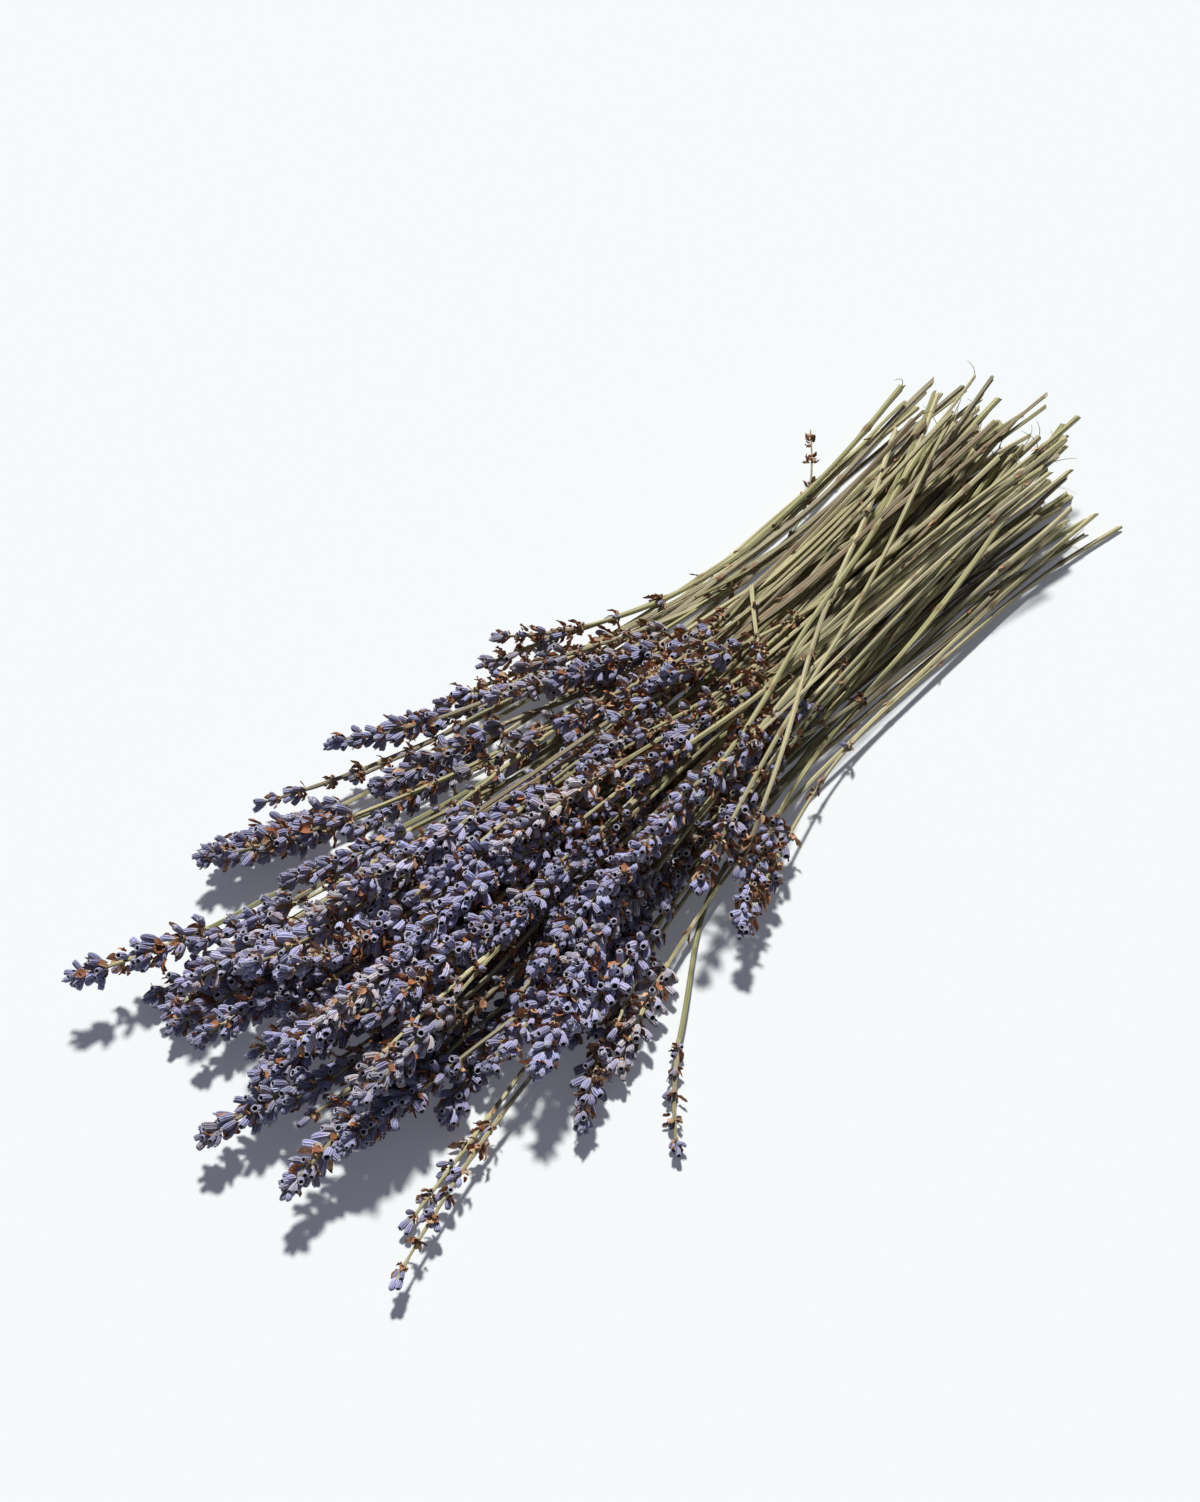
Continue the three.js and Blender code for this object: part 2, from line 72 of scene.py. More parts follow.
Colour = tuple[float, float, float, float]
Spot = tuple[Array, Array, Array, Array]
Value = Union["Wire", float, tuple]

logging.basicConfig(level=logging.INFO, format="%(message)s")
LOG = logging.getLogger("lavender")

MM = 0.001
BODY = "root"
FLOOR_GAP = 0.00004

# The part's driving dimensions.
STEM_SIDE = 1.9
HEAD_RADIUS = 6.3
HEAD_LENGTH = 48.0
STALK_COUNT = 84
NODE_COUNT = 60
STEM_NODES = 22
MOST_STEMS = 6
MOST_HEADS = 3
CLEARANCE = 0.45
STEM_TO_HEAD_GAP = 0.5

# How the bunch lies.
MIDDLE_Y = -20.0
HEADS_START_X = -162.0
HEADS_SPREAD_X = 178.0
HEADS_HALF_WIDTH = 56.0
HEADS_TAPER = 0.3
FRONT_SHARE = 0.22
CUT_X = 186.0
CUT_Y = -22.0
CUT_HALF_WIDTH = 29.0
CUT_LEAN = 9.0
WAIST = 0.39
LAYERS = 6
LAYER_STEP = 14.0
FIRST_LAYER_Z = 9.0
CUT_LAYER_STEP = 13.5
TIP_LAYER_STEP = 9.0
CUT_LOW_Z = 2.0
TIP_LOW_Z = 7.0
LAYER_NARROWING = 0.08
SPREAD_RATIO = 0.618034

# How the stalks of the pile differ from each other. A pair is the least and the most.
SPARSE_SHARE = 0.1
SIDE_SHIFT = (-0.12, 0.12)
TIP_SHIFT = (-5.0, 5.0)
CUT_SHIFT = (-30.0, 12.0)
CUT_SIDE = (-1.0, 1.0)
LENGTH_RANGE = (0.75, 1.12)
SPARSE_GIRTH = (0.5, 0.65)
FULL_GIRTH = (0.88, 1.05)
BACK_SLIMMING = 0.32
BOW_RANGE = (-7.0, 7.0)
GIRTH_START = 0.62
GIRTH_SWELL = 1.5
GIRTH_TAPER = 0.12

# The chain of a stalk.
STEM_POINTS = 6
CHAIN = STEM_POINTS + 2
BASE = STEM_POINTS - 1
LINKS = CHAIN - 1
STEM_RADIUS = STEM_SIDE * math.sqrt(0.5)
BASE_SHARE = 0.7
TIP_SHARE = 0.6

# Settling.
LOOSE_STEPS = 240
TIED_STEPS = 150
CLEARING_STEPS = 200
PUSHES = 3
REFRESH = 10
REACH = 5.0
SINK = 0.32
STIFFNESS = 0.35
CUT_ANCHOR = 0.06
TIP_ANCHOR = 0.15
HEAD_SQUEEZE = 0.56
TIE_SPAN = 0.6
STEM_TOUCH = 0.9
FLOOR_BITE = 0.25
HEAD_REST = 0.84
NEARLY_NOTHING = 1e-6
SEED = 13

# The stalks that fill the inside of the pile.
FILLERS = 96
FILLER_SEED = 12
FILLER_REACH = 46.0
FULL_FILLERS = 0.6
FULL_FILLER_GIRTH = (0.66, 0.86)
SPARSE_FILLER_GIRTH = (0.5, 0.62)
FILLER_LENGTH = (0.93, 0.99)
FILLER_GROUP = 12
# How much darker the colours of these stalks are painted, as painted shade inside the pile.
INNER_PAINTED_SHADE = 0.4

# The stalks that lie across the top of the pile: cut end, base of the head, tip, head girth.
# Each point of theirs rests on what lies within reach below it, a little between the heads.
CROSSING = (
    ((63, -7, 33), (43, -29, 32), (30, -35, 30), 0.5),
    ((161, 10, 30), (0, -64, 34), (-22, -74, 30), 0.62),
    ((161, -12, 30), (-11, -62, 35), (-30, -67, 30), 0.6),
    ((164, -5, 32), (-8, -50, 36), (-25, -51, 32), 0.55),
)
TOP_REACH = 5.0
TOP_STEPS = 8
TOP_SMOOTHING = 2
HEAD_BED = 0.7

# What a stalk's number is added to, for the random numbers of its line and of its head.
LINE_SEED = 2000
HEAD_SEED = 1000

# Stalks with a smaller head girth than this are side shoots, and their stems are thinner.
THIN_GIRTH = 0.48
THIN = 0.5

# From this x of the tip on, heads are more and more worn.
BACK_START_X = -80.0
BACK_SPREAD_X = 80.0

# The age that marks a stub, past that of any whole calyx, and the zones of a cut end.
STUB_AGE = 1.6
RIM_ZONE = 1.2
PITH_ZONE = 2.0


class Kind(Enum):
    """How full the flower head of a stalk is."""

    FULL = "full"
    SPARSE = "sparse"


# The stalks that shape the outline, given one by one:
# tip x, y; cut end x, y; layer; head length; head girth; sideways bow; kind.
PLACED = (
    (-174, 39, 190, -32, 3, 40, 1.0, 4, Kind.FULL),
    (-158, 25, 188, -18, 2, 38, 1.0, 3, Kind.FULL),
    (-161, 20, 183, -8, 1, 36, 0.95, 2, Kind.FULL),
    (-165, 8, 178, -52, 0, 36, 1.0, 0, Kind.FULL),
    (-124, 43, 176, -42, 2, 38, 0.9, 5, Kind.FULL),
    (-114, 34, 193, 0, 3, 40, 1.0, 3, Kind.FULL),
    (-112, 57, 178, 14, 0, 40, 0.95, 6, Kind.FULL),
    (-93, 49, 184, 18, 1, 34, 0.55, 3, Kind.SPARSE),
    (-68, 48, 195, 8, 3, 34, 0.8, 2, Kind.FULL),
    (-45, 47, 190, 12, 3, 34, 0.72, 2, Kind.FULL),
    (-23, 44, 186, 16, 2, 32, 0.66, 0, Kind.FULL),
    (0, 40, 176, 14, 4, 28, 0.62, 0, Kind.FULL),
    (-184, -14, 172, -56, 1, 36, 1.0, 3, Kind.FULL),
    (-187, -44, 186, -36, 0, 36, 1.0, -4, Kind.FULL),
    (-184, -77, 170, -46, 0, 60, 0.62, -3, Kind.SPARSE),
    (-111, -74, 173, 13, 4, 44, 1.0, 0, Kind.FULL),
    (-113, -86, 182, -22, 0, 44, 1.0, 5, Kind.FULL),
    (-89, -82, 178, -44, 1, 38, 1.0, 2, Kind.FULL),
    (-91, -70, 195, -24, 3, 46, 1.05, 2, Kind.FULL),
    (-96, -114, 177, -46, 0, 30, 0.5, 27, Kind.SPARSE),
    (-35, -83, 184, -54, 1, 42, 0.72, 4, Kind.FULL),
    (-30, -76, 162, -40, 4, 44, 0.7, 0, Kind.FULL),
    (14, -55, 172, -48, 3, 26, 0.62, 0, Kind.FULL),
    (142, 33, 60, 8, 2, 26, 0.45, 2, Kind.SPARSE),
)


class Draws:
    """Random numbers that follow the part's own draws one for one."""

    MASK = 0xFFFFFFFF

    def __init__(self, seed: int) -> None:
        """Start from a seed."""
        self.state = seed

    def one(self) -> float:
        """Return the next number from 0 to 1.

        Returns:
            The number.
        """
        self.state = (self.state + 0x6D2B79F5) & self.MASK
        mixed = ((self.state ^ (self.state >> 15)) * (1 | self.state)) & self.MASK
        more = ((mixed ^ (mixed >> 7)) * (61 | mixed)) & self.MASK
        mixed ^= (mixed + more) & self.MASK
        return (mixed ^ (mixed >> 14)) / (self.MASK + 1)

    def between(self, low: float, high: float) -> float:
        """Return the next number from low to high."""
        return low + (high - low) * self.one()


@dataclass
class Stalk:
    """One stalk: where it starts and ends, how big its head is, and its chain of points."""

    tip_x: float = 0.0
    tip_y: float = 0.0
    cut_x: float = 0.0
    cut_y: float = 0.0
    layer: int = 0
    head_length: float = 0.0
    girth: float = 1.0
    bow: float = 0.0
    kind: Kind = Kind.SPARSE
    turn: float = 0.0
    seed: int = 0
    points: Array = field(default_factory=lambda: np.zeros((CHAIN, 3)))

    @classmethod
    def drawn(cls, draws: Draws, index: int, count: int) -> "Stalk":
        """Draw a stalk of the pile, whose heads fan out while the cut ends stay together.

        Args:
            draws: The random numbers of the layout.
            index: Which of the drawn stalks this is.
            count: How many there are.

        Returns:
            The stalk, not laid out yet.
        """
        layer = index % LAYERS
        side = 2 * ((index * SPREAD_RATIO) % 1) - 1 + draws.between(*SIDE_SHIFT)
        along = draws.one()
        narrow = 1 - LAYER_NARROWING * layer
        width = HEADS_HALF_WIDTH * narrow * (1 - HEADS_TAPER * along)
        share = (index + draws.one()) / count
        back = share * (FRONT_SHARE + (1 - FRONT_SHARE) * share)
        sparse = draws.one() < SPARSE_SHARE
        tip_x = HEADS_START_X + HEADS_SPREAD_X * back + draws.between(*TIP_SHIFT)
        tip_y = MIDDLE_Y + side * width
        cut_x = CUT_X + draws.between(*CUT_SHIFT)
        cut_y = CUT_Y + CUT_HALF_WIDTH * narrow * draws.between(*CUT_SIDE) + side * CUT_LEAN
        head_length = HEAD_LENGTH * draws.between(*LENGTH_RANGE)
        slim = 1 if sparse else 1 - BACK_SLIMMING * back
        girth = slim * draws.between(*(SPARSE_GIRTH if sparse else FULL_GIRTH))
        bow = draws.between(*BOW_RANGE)
        kind = Kind.SPARSE if sparse else Kind.FULL
        return cls(tip_x, tip_y, cut_x, cut_y, layer, head_length, girth, bow, kind)

    def lay_out(self) -> None:
        """Place the chain of points in the stalk's layer, before it settles."""
        dx, dy = self.tip_x - self.cut_x, self.tip_y - self.cut_y
        length = math.sqrt(dx * dx + dy * dy)
        stem_length = length - self.head_length
        for i in range(CHAIN):
            in_stem = min(i, BASE) / BASE
            in_head = max(i - BASE, 0) / 2
            t = (in_stem * stem_length + in_head * self.head_length) / length
            half = 4 * t * (1 - t)
            side = (half * self.bow) / length
            x = self.cut_x + dx * t + dy * side
            y = self.cut_y + dy * t - dx * side
            z = FIRST_LAYER_Z + LAYER_STEP * self.layer
            self.points[i] = (x, y + (MIDDLE_Y - y) * half * WAIST, z)

    def radii(self) -> list[tuple[float, float]]:
        """Return how thick each link of the chain is at its two ends.

        Returns:
            The radii of each link.
        """
        thick = HEAD_RADIUS * self.girth
        stem = [(STEM_RADIUS, STEM_RADIUS)] * BASE
        return stem + [(thick * BASE_SHARE, thick), (thick, thick * TIP_SHARE)]

    def place_of_ends(self) -> Array:
        """Return where the cut end and the tip tend to stay.

        Returns:
            The two points.
        """
        cut, tip = self.points[0].copy(), self.points[-1].copy()
        cut[2] = CUT_LOW_Z + CUT_LAYER_STEP * self.layer
        tip[2] = TIP_LOW_Z + TIP_LAYER_STEP * self.layer
        return np.array([cut, tip])

    def slimness(self) -> float:
        """Return how thick its stem is against a whole stalk's, since side shoots are thin."""
        return THIN if self.girth < THIN_GIRTH else 1.0


def clamp(value: float, low: float = 0.0, high: float = 1.0) -> float:
    """Return a number kept between two others."""
    return min(high, max(low, value))


def dot(a: Array, b: Array) -> Array:
    """Return the products of two lists of vectors, summed in the part's own order."""
    return a[..., 0] * b[..., 0] + a[..., 1] * b[..., 1] + a[..., 2] * b[..., 2]


def nearest(a0: Array, a1: Array, b0: Array, b1: Array) -> tuple[Array, Array, Array]:
    """Find the nearest points of pairs of links.

    Args:
        a0: Where the first links start.
        a1: Where the first links end.
        b0: Where the second links start.
        b1: Where the second links end.

    Returns:
        The shares along the first and the second links, and the vectors between them.
    """
    u, v, w = a1 - a0, b1 - b0, a0 - b0
    a, b, c, d, e = dot(u, u), dot(u, v), dot(v, v), dot(u, w), dot(v, w)
    first = np.clip((b * e - c * d) / np.maximum(a * c - b * b, NEARLY_NOTHING), 0, 1)
    t = np.clip((b * first + e) / c, 0, 1)
    s = np.clip((b * t - d) / a, 0, 1)
    return s, t, w + u * s[:, None] - v * t[:, None]


@dataclass
class Pairs:
    """Pairs of links that push each other away, or that a tie pulls together."""

    first: Array
    second: Array
    scale: float = 1.0
    room: float = CLEARANCE
    pull: bool = False


@dataclass
class Bunch:
    """All stalks, settled on the ground and on each other, and which stalks share a node."""

    stalks: list[Stalk] = field(default_factory=list)
    points: Array = field(default_factory=lambda: np.zeros((0, 3)))
    stems: list[list[int]] = field(default_factory=list)
    heads: list[list[int]] = field(default_factory=list)
    shift: Array = field(default_factory=lambda: np.zeros(3))

    def __post_init__(self) -> None:
        """Draw the stalks and note the sizes of their links."""
        draws = Draws(SEED)
        self.stalks = [Stalk(*row) for row in PLACED]
        drawn = STALK_COUNT - len(self.stalks)
        self.stalks += [Stalk.drawn(draws, i, drawn) for i in range(drawn)]
        for stalk in self.stalks:
            stalk.turn = draws.between(0, 2 * math.pi)
            stalk.lay_out()
        chains = np.array([stalk.points for stalk in self.stalks])
        steps = chains[:, 1:] - chains[:, :-1]
        self.points = chains.reshape(-1, 3).copy()
        self.lengths = np.sqrt(dot(steps, steps))
        share = (self.lengths[:, :-1] / (self.lengths[:, :-1] + self.lengths[:, 1:]))[..., None]
        before, after = chains[:, :-2], chains[:, 2:]
        self.rest = np.zeros_like(chains)
        self.rest[:, 1:-1] = chains[:, 1:-1] - (before + (after - before) * share)
        self.places = np.array([stalk.place_of_ends() for stalk in self.stalks])
        radii = np.array([stalk.radii() for stalk in self.stalks])
        self.r0, self.r1 = radii[..., 0].ravel(), radii[..., 1].ravel()
        self.link = np.tile(np.arange(LINKS), STALK_COUNT)
        self.owner = np.repeat(np.arange(STALK_COUNT), LINKS)
        self.at = self.owner * CHAIN + self.link
        self.in_head = self.link >= BASE
        self.low = np.where(self.link == BASE, 1 - TIE_SPAN, 0.0)
        self.high = np.where(self.link == BASE + 1, TIE_SPAN, 1.0)
        self.lowest = np.full((STALK_COUNT, CHAIN), STEM_SIDE / 2 - FLOOR_BITE)
        self.lowest[:, BASE] = radii[:, BASE, 0] * HEAD_REST
        self.lowest[:, BASE + 1:] = radii[:, BASE + 1] * HEAD_REST
        self.lowest = self.lowest.ravel()

    def ends(self, links: Array) -> tuple[Array, Array]:
        """Return where the given links start and end."""
        return self.points[self.at[links]], self.points[self.at[links] + 1]

    def nearest_tied(self, first: Array, second: Array) -> tuple[Array, Array, Array]:
        """Find the nearest points of the parts of links that may be tied.

        Args:
            first: The first link of each pair.
            second: The second link of each pair.

        Returns:
            The shares along the first and the second links, and the vectors between them.
        """
        cut = []
        for links in (first, second):
            start, end = self.ends(links)
            for share in (self.low[links], self.high[links]):
                cut.append(start + (end - start) * share[:, None])
        s, t, gap = nearest(*cut)
        p, q = first, second
        s = self.low[p] + (self.high[p] - self.low[p]) * s
        t = self.low[q] + (self.high[q] - self.low[q]) * t
        return s, t, gap

    def near_pairs(self, free: Array) -> Pairs:
        """Find the pairs of links that could soon touch.

        Args:
            free: Which pairs are allowed to push each other, as a square of yes and no.

        Returns:
            The pairs.
        """
        start, end = self.ends(np.arange(len(self.at)))
        room = (np.maximum(self.r0, self.r1) + REACH / 2)[:, None]
        low, high = np.minimum(start, end) - room, np.maximum(start, end) + room
        meet = free.copy()
        for k in range(3):
            meet &= low[:, None, k] <= high[None, :, k]
            meet &= low[None, :, k] <= high[:, None, k]
        return Pairs(*np.nonzero(meet))

    def relax(self, groups: list[Pairs]) -> None:
        """Move every pair that is too near apart, and every tied pair that is too far together.

        Args:
            groups: The pairs, those of each tie and all others.
        """
        where, moves, counts = [], [], []
        for pairs in groups:
            p, q = pairs.first, pairs.second
            if len(p) == 0:
                continue
            s, t, gap = (
                self.nearest_tied(p, q) if pairs.pull else nearest(*self.ends(p), *self.ends(q))
            )
            far = np.maximum(np.sqrt(dot(gap, gap)), NEARLY_NOTHING)
            both = self.r0[p] + (self.r1[p] - self.r0[p]) * s
            both = both + self.r0[q] + (self.r1[q] - self.r0[q]) * t
            missing = both * pairs.scale + pairs.room - far
            used = np.nonzero(missing < 0 if pairs.pull else missing > 0)[0]
            push = gap[used] * ((0.5 * missing[used]) / far[used])[:, None]
            for links, share, way in ((p[used], s[used], 1), (q[used], t[used], -1)):
                near = 1 - share
                weight = 1 / (near * near + share * share)
                where.append(np.stack([self.at[links], self.at[links] + 1], 1))
                parts = np.stack([near, share], 1)
                moves.append(way * push[:, None] * parts[..., None] * weight[:, None, None])
                counts.append(parts * weight[:, None])
            for grown in (where, moves, counts):
                second = grown.pop()
                grown.append(np.stack([grown.pop(), second], 1).reshape(-1, *second.shape[2:]))
        if not where:
            return
        at = np.concatenate(where).ravel()
        weight = np.concatenate(counts).ravel()
        move = np.concatenate(moves).reshape(-1, 3)
        total = len(self.points)
        share = 1 / np.maximum(1, np.bincount(at, weight, total))
        for k in range(3):
            self.points[:, k] += np.bincount(at, move[:, k], total) * share

    def stiffen(self) -> None:
        """Keep the slight bow of every stalk, then its length."""
        chains = self.points.reshape(STALK_COUNT, CHAIN, 3)
        for i in range(1, CHAIN - 1):
            before, after = self.lengths[:, i - 1], self.lengths[:, i]
            share = (before / (before + after))[:, None]
            p, c, q = chains[:, i - 1], chains[:, i], chains[:, i + 1]
            off = (p + (q - p) * share + self.rest[:, i] - c) * STIFFNESS
            c += off * 0.5
            p -= off * 0.25
            q -= off * 0.25
        for i in range(CHAIN - 1):
            p, q = chains[:, i], chains[:, i + 1]
            d = q - p
            length = np.sqrt(dot(d, d))
            move = ((0.5 * (length - self.lengths[:, i])) / length)[:, None]
            p += d * move
            q -= d * move

    def settle(self, ties: list[Pairs], falling: int, clearing: int) -> None:
        """Let the stalks sink, and then only push them clear of each other.

        Args:
            ties: The pairs that are pulled together.
            falling: How many steps the stalks sink for.
            clearing: How many steps they are only pushed apart for.
        """
        free = self.owner[:, None] < self.owner[None, :]
        for tie in ties:
            for p, q in zip(tie.first, tie.second):
                a, b = (p, q) if self.owner[p] < self.owner[q] else (q, p)
                free[np.ix_(self.beside(a), self.beside(b))] = False
        chains = self.points.reshape(STALK_COUNT, CHAIN, 3)
        pairs = []
        for step in range(falling + clearing):
            if step % REFRESH == 0:
                pairs = [*ties, self.near_pairs(free)]
            if step < falling:
                chains[:, 0] += (self.places[:, 0] - chains[:, 0]) * CUT_ANCHOR
                chains[:, -1] += (self.places[:, 1] - chains[:, -1]) * TIP_ANCHOR
            self.stiffen()
            if step < falling:
                self.points[:, 2] -= SINK
            for _ in range(PUSHES):
                self.relax(pairs)
                self.points[:, 2] = np.maximum(self.points[:, 2], self.lowest)

    def beside(self, link: int) -> Array:
        """Return the links of the same stalk that may run into what a link is tied to.

        Args:
            link: The link.

        Returns:
            The numbers of the links.
        """
        same = (self.owner == self.owner[link]) & (self.in_head == self.in_head[link])
        near = self.in_head | (np.abs(self.link - self.link[link]) <= 1)
        return np.nonzero(same & near)[0]

    def cluster(self, links: Array, wanted: int, most: int) -> tuple[list[list[int]], Array]:
        """Join the stalks whose given links lie nearest to each other.

        Args:
            links: The links that may be tied.
            wanted: How few clusters are wanted.
            most: How many stalks a cluster may hold.

        Returns:
            The stalks of each cluster, and the pairs of links that tie them.
        """
        owner = self.owner[links]
        i, j = np.nonzero(owner[:, None] < owner[None, :])
        p, q = links[i], links[j]
        gap = self.nearest_tied(p, q)[2]
        thick = (self.r0[p] + self.r1[p] + self.r0[q] + self.r1[q]) / 2
        order = np.argsort(np.sqrt(dot(gap, gap)) - thick, kind="stable")
        clusters = [[s] for s in range(STALK_COUNT)]
        ties = []
        left = STALK_COUNT
        for n in order:
            a, b = clusters[self.owner[p[n]]], clusters[self.owner[q[n]]]
            if left > wanted and a is not b and len(a) + len(b) <= most:
                a.extend(b)
                for s in b:
                    clusters[s] = a
                ties.append((p[n], q[n]))
                left -= 1
        members = list({id(found): found for found in clusters}.values())
        return members, np.array(ties, int).reshape(-1, 2)

    def lay(self) -> None:
        """Lay the bunch: first loose, then with the members of each node pressed together."""
        self.settle([], LOOSE_STEPS, 0)
        inner = np.nonzero((self.link > 0) & (self.link < BASE - 1))[0]
        self.stems, stem_ties = self.cluster(inner, STEM_NODES, MOST_STEMS)
        full = np.array([stalk.kind is Kind.FULL for stalk in self.stalks])
        heads = np.nonzero(self.in_head & full[self.owner])[0]
        self.heads, head_ties = self.cluster(heads, NODE_COUNT - len(self.stems), MOST_HEADS)
        ties = [
            Pairs(*stem_ties.T, scale=0.0, room=STEM_TOUCH, pull=True),
            Pairs(*head_ties.T, scale=HEAD_SQUEEZE, room=0.0, pull=True),
        ]
        self.settle(ties, TIED_STEPS, CLEARING_STEPS)
        for stalk, chain in zip(self.stalks, self.points.reshape(STALK_COUNT, CHAIN, 3)):
            stalk.points = chain * MM

    def place(self) -> None:
        """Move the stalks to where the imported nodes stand, and report how well they fit."""
        offs = []
        for n, members in enumerate(self.stems):
            chain = np.array([self.stalks[s].points[:STEM_POINTS] for s in members])
            tail = chain[:, -2] - chain[:, -1]
            chain[:, -1] += tail / np.sqrt(dot(tail, tail))[:, None] * STEM_TO_HEAD_GAP * MM
            chain = chain.reshape(-1, 3)
            low, high = (np.array(corner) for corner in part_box(f"stems_{n + 1:02d}"))
            offs.append((low + high) / 2 - (chain.min(0) + chain.max(0)) / 2)
        self.shift = np.median(offs, axis=0) * (1, 1, 0)
        for n, stalk in enumerate(self.stalks):
            stalk.seed = n
            stalk.points = stalk.points + self.shift
        spread = np.abs(np.array(offs) - self.shift)[:, :2].max() / MM
        moved = np.round(self.shift / MM, 3)
        LOG.info("layout moved by %s mm, nodes within %.2f mm", moved, spread)

    def fill(self) -> list[Stalk]:
        """Add stalks inside the pile, each between two neighbours, where there is most room.

        Returns:
            The stalks.
        """
        rng = np.random.default_rng(FILLER_SEED)
        full = [stalk for stalk in self.stalks if stalk.kind is Kind.FULL]
        chains = np.array([stalk.points for stalk in full])
        gaps = chains[:, None] - chains[None]
        apart = np.sqrt(dot(gaps, gaps)).max(-1)
        first, second = np.nonzero(np.triu(apart < FILLER_REACH * MM, 1))
        near = (chains[first, -2] + chains[second, -2]) / 2
        free = np.full(len(near), np.inf)
        for taken in chains[:, -2]:
            free = np.minimum(free, np.sqrt(dot(near - taken, near - taken)))
        more = []
        for n in range(FILLERS):
            pair = int(np.argmax(free * rng.uniform(0.7, 1.0, len(free))))
            free = np.minimum(free, np.sqrt(dot(near - near[pair], near - near[pair])))
            a, b = full[first[pair]], full[second[pair]]
            share = np.linspace(rng.uniform(0.0, 1.0), rng.uniform(0.3, 0.7), CHAIN)[:, None]
            points = a.points * (1 - share) + b.points * share
            points = points[0] + (points - points[0]) * rng.uniform(*FILLER_LENGTH)
            dense = rng.random() < FULL_FILLERS
            girth = rng.uniform(*(FULL_FILLER_GIRTH if dense else SPARSE_FILLER_GIRTH))
            more.append(Stalk(girth=girth, kind=Kind.FULL if dense else Kind.SPARSE,
                              turn=rng.uniform(0, 6), seed=len(self.stalks) + n, points=points))
        return more

    def crossing(self, others: list[Stalk]) -> list[Stalk]:
        """Lay the stalks that cross the top of the pile, one of them a broken piece.

        Args:
            others: The stalks that they lie on.

        Returns:
            The stalks.
        """
        chains = np.array([stalk.points for stalk in others])
        heads = np.array([[stalk.girth * HEAD_RADIUS * MM] for stalk in others])
        crown = (chains[:, STEM_POINTS:, 2] + heads).max()
        in_stem = np.arange(CHAIN) < STEM_POINTS
        chains[..., 2] += np.where(in_stem, STEM_SIDE * MM, heads * HEAD_BED)
        t = np.arange(TOP_STEPS)[:, None, None, None] / TOP_STEPS
        tops = (chains[:, :-1] * (1 - t) + chains[:, 1:] * t).reshape(-1, 3)
        share = np.linspace(0, 1, STEM_POINTS)[:, None]
        stalks = []
        for *places, girth in CROSSING:
            cut, base, tip = (np.array(place) * MM + self.shift for place in places)
            points = np.concatenate([cut + (base - cut) * share, [(base + tip) / 2, tip]])
            high = tip[2]
            for point in points[::-1]:
                gap = (tops - point) * (1, 1, 0)
                near = tops[dot(gap, gap) < (TOP_REACH * MM) ** 2, 2]
                high = near.max() if len(near) else high
                high = min(high, crown - girth * HEAD_RADIUS * MM)
                point[2] = high
            for _ in range(TOP_SMOOTHING):
                points[1:-1, 2] = (points[:-2, 2] + 2 * points[1:-1, 2] + points[2:, 2]) / 4
            stalks.append(Stalk(girth=girth, seed=len(others) + len(stalks), points=points))
        return stalks


def srgb(red: float, green: float, blue: float) -> Colour:
    """Return a colour given on the 0 to 255 screen scale as a shader takes it.

    Args:
        red: How red it is.
        green: How green it is.
        blue: How blue it is.

    Returns:
        The colour, with full cover.
    """
    parts = [channel / 255 for channel in (red, green, blue)]
    linear = [c / 12.92 if c <= 0.04045 else ((c + 0.055) / 1.055) ** 2.4 for c in parts]
    return (*linear, 1.0)


def operator(operation: str, reflected: bool = False) -> Callable[["Wire", Value], "Wire"]:
    """Let one of Python's operators add a Math node.

    Args:
        operation: What the node does.
        reflected: Whether the wire is the second of the two values.

    Returns:
        The method for the operator.
    """

    def method(wire: "Wire", other: Value) -> "Wire":
        """Return the result of the operator."""
        return wire.maths(operation, *((other, wire) if reflected else (wire, other)))

    return method


@dataclass(frozen=True)
class Wire:
    """An output socket that Python's operators work on."""

    shader: "Shader"
    socket: Optional[bpy.types.NodeSocket]

    __add__ = __radd__ = operator("ADD")
    __mul__ = __rmul__ = operator("MULTIPLY")
    __sub__ = operator("SUBTRACT")
    __rsub__ = operator("SUBTRACT", reflected=True)
    __pow__ = operator("POWER")

    def maths(self, operation: str, *values: Value) -> "Wire":
        """Return the result of a Math node on some values."""
        settings, sockets = {"operation": operation}, dict(enumerate(values))
        return self.shader.node("ShaderNodeMath", settings, sockets)

    def wave(self, count: float) -> "Wire":
        """Return a wave from 0 to 1 with so many crests to a full turn of this angle."""
        return self.maths("COSINE", self * count) * 0.5 + 0.5

    def rising(self, low: float, high: float) -> "Wire":
        """Return a smooth step from 0 at one value to 1 at the other."""
        sockets = {"Value": self, "From Min": low, "From Max": high}
        return self.shader.node("ShaderNodeMapRange", {"interpolation_type": "SMOOTHSTEP"}, sockets)

    def split(self) -> tuple["Wire", "Wire", "Wire"]:
        """Return the three numbers of a vector."""
        parts = self.shader.node("ShaderNodeSeparateXYZ", {}, {0: self})
        return tuple(Wire(self.shader, out) for out in parts.socket.node.outputs)


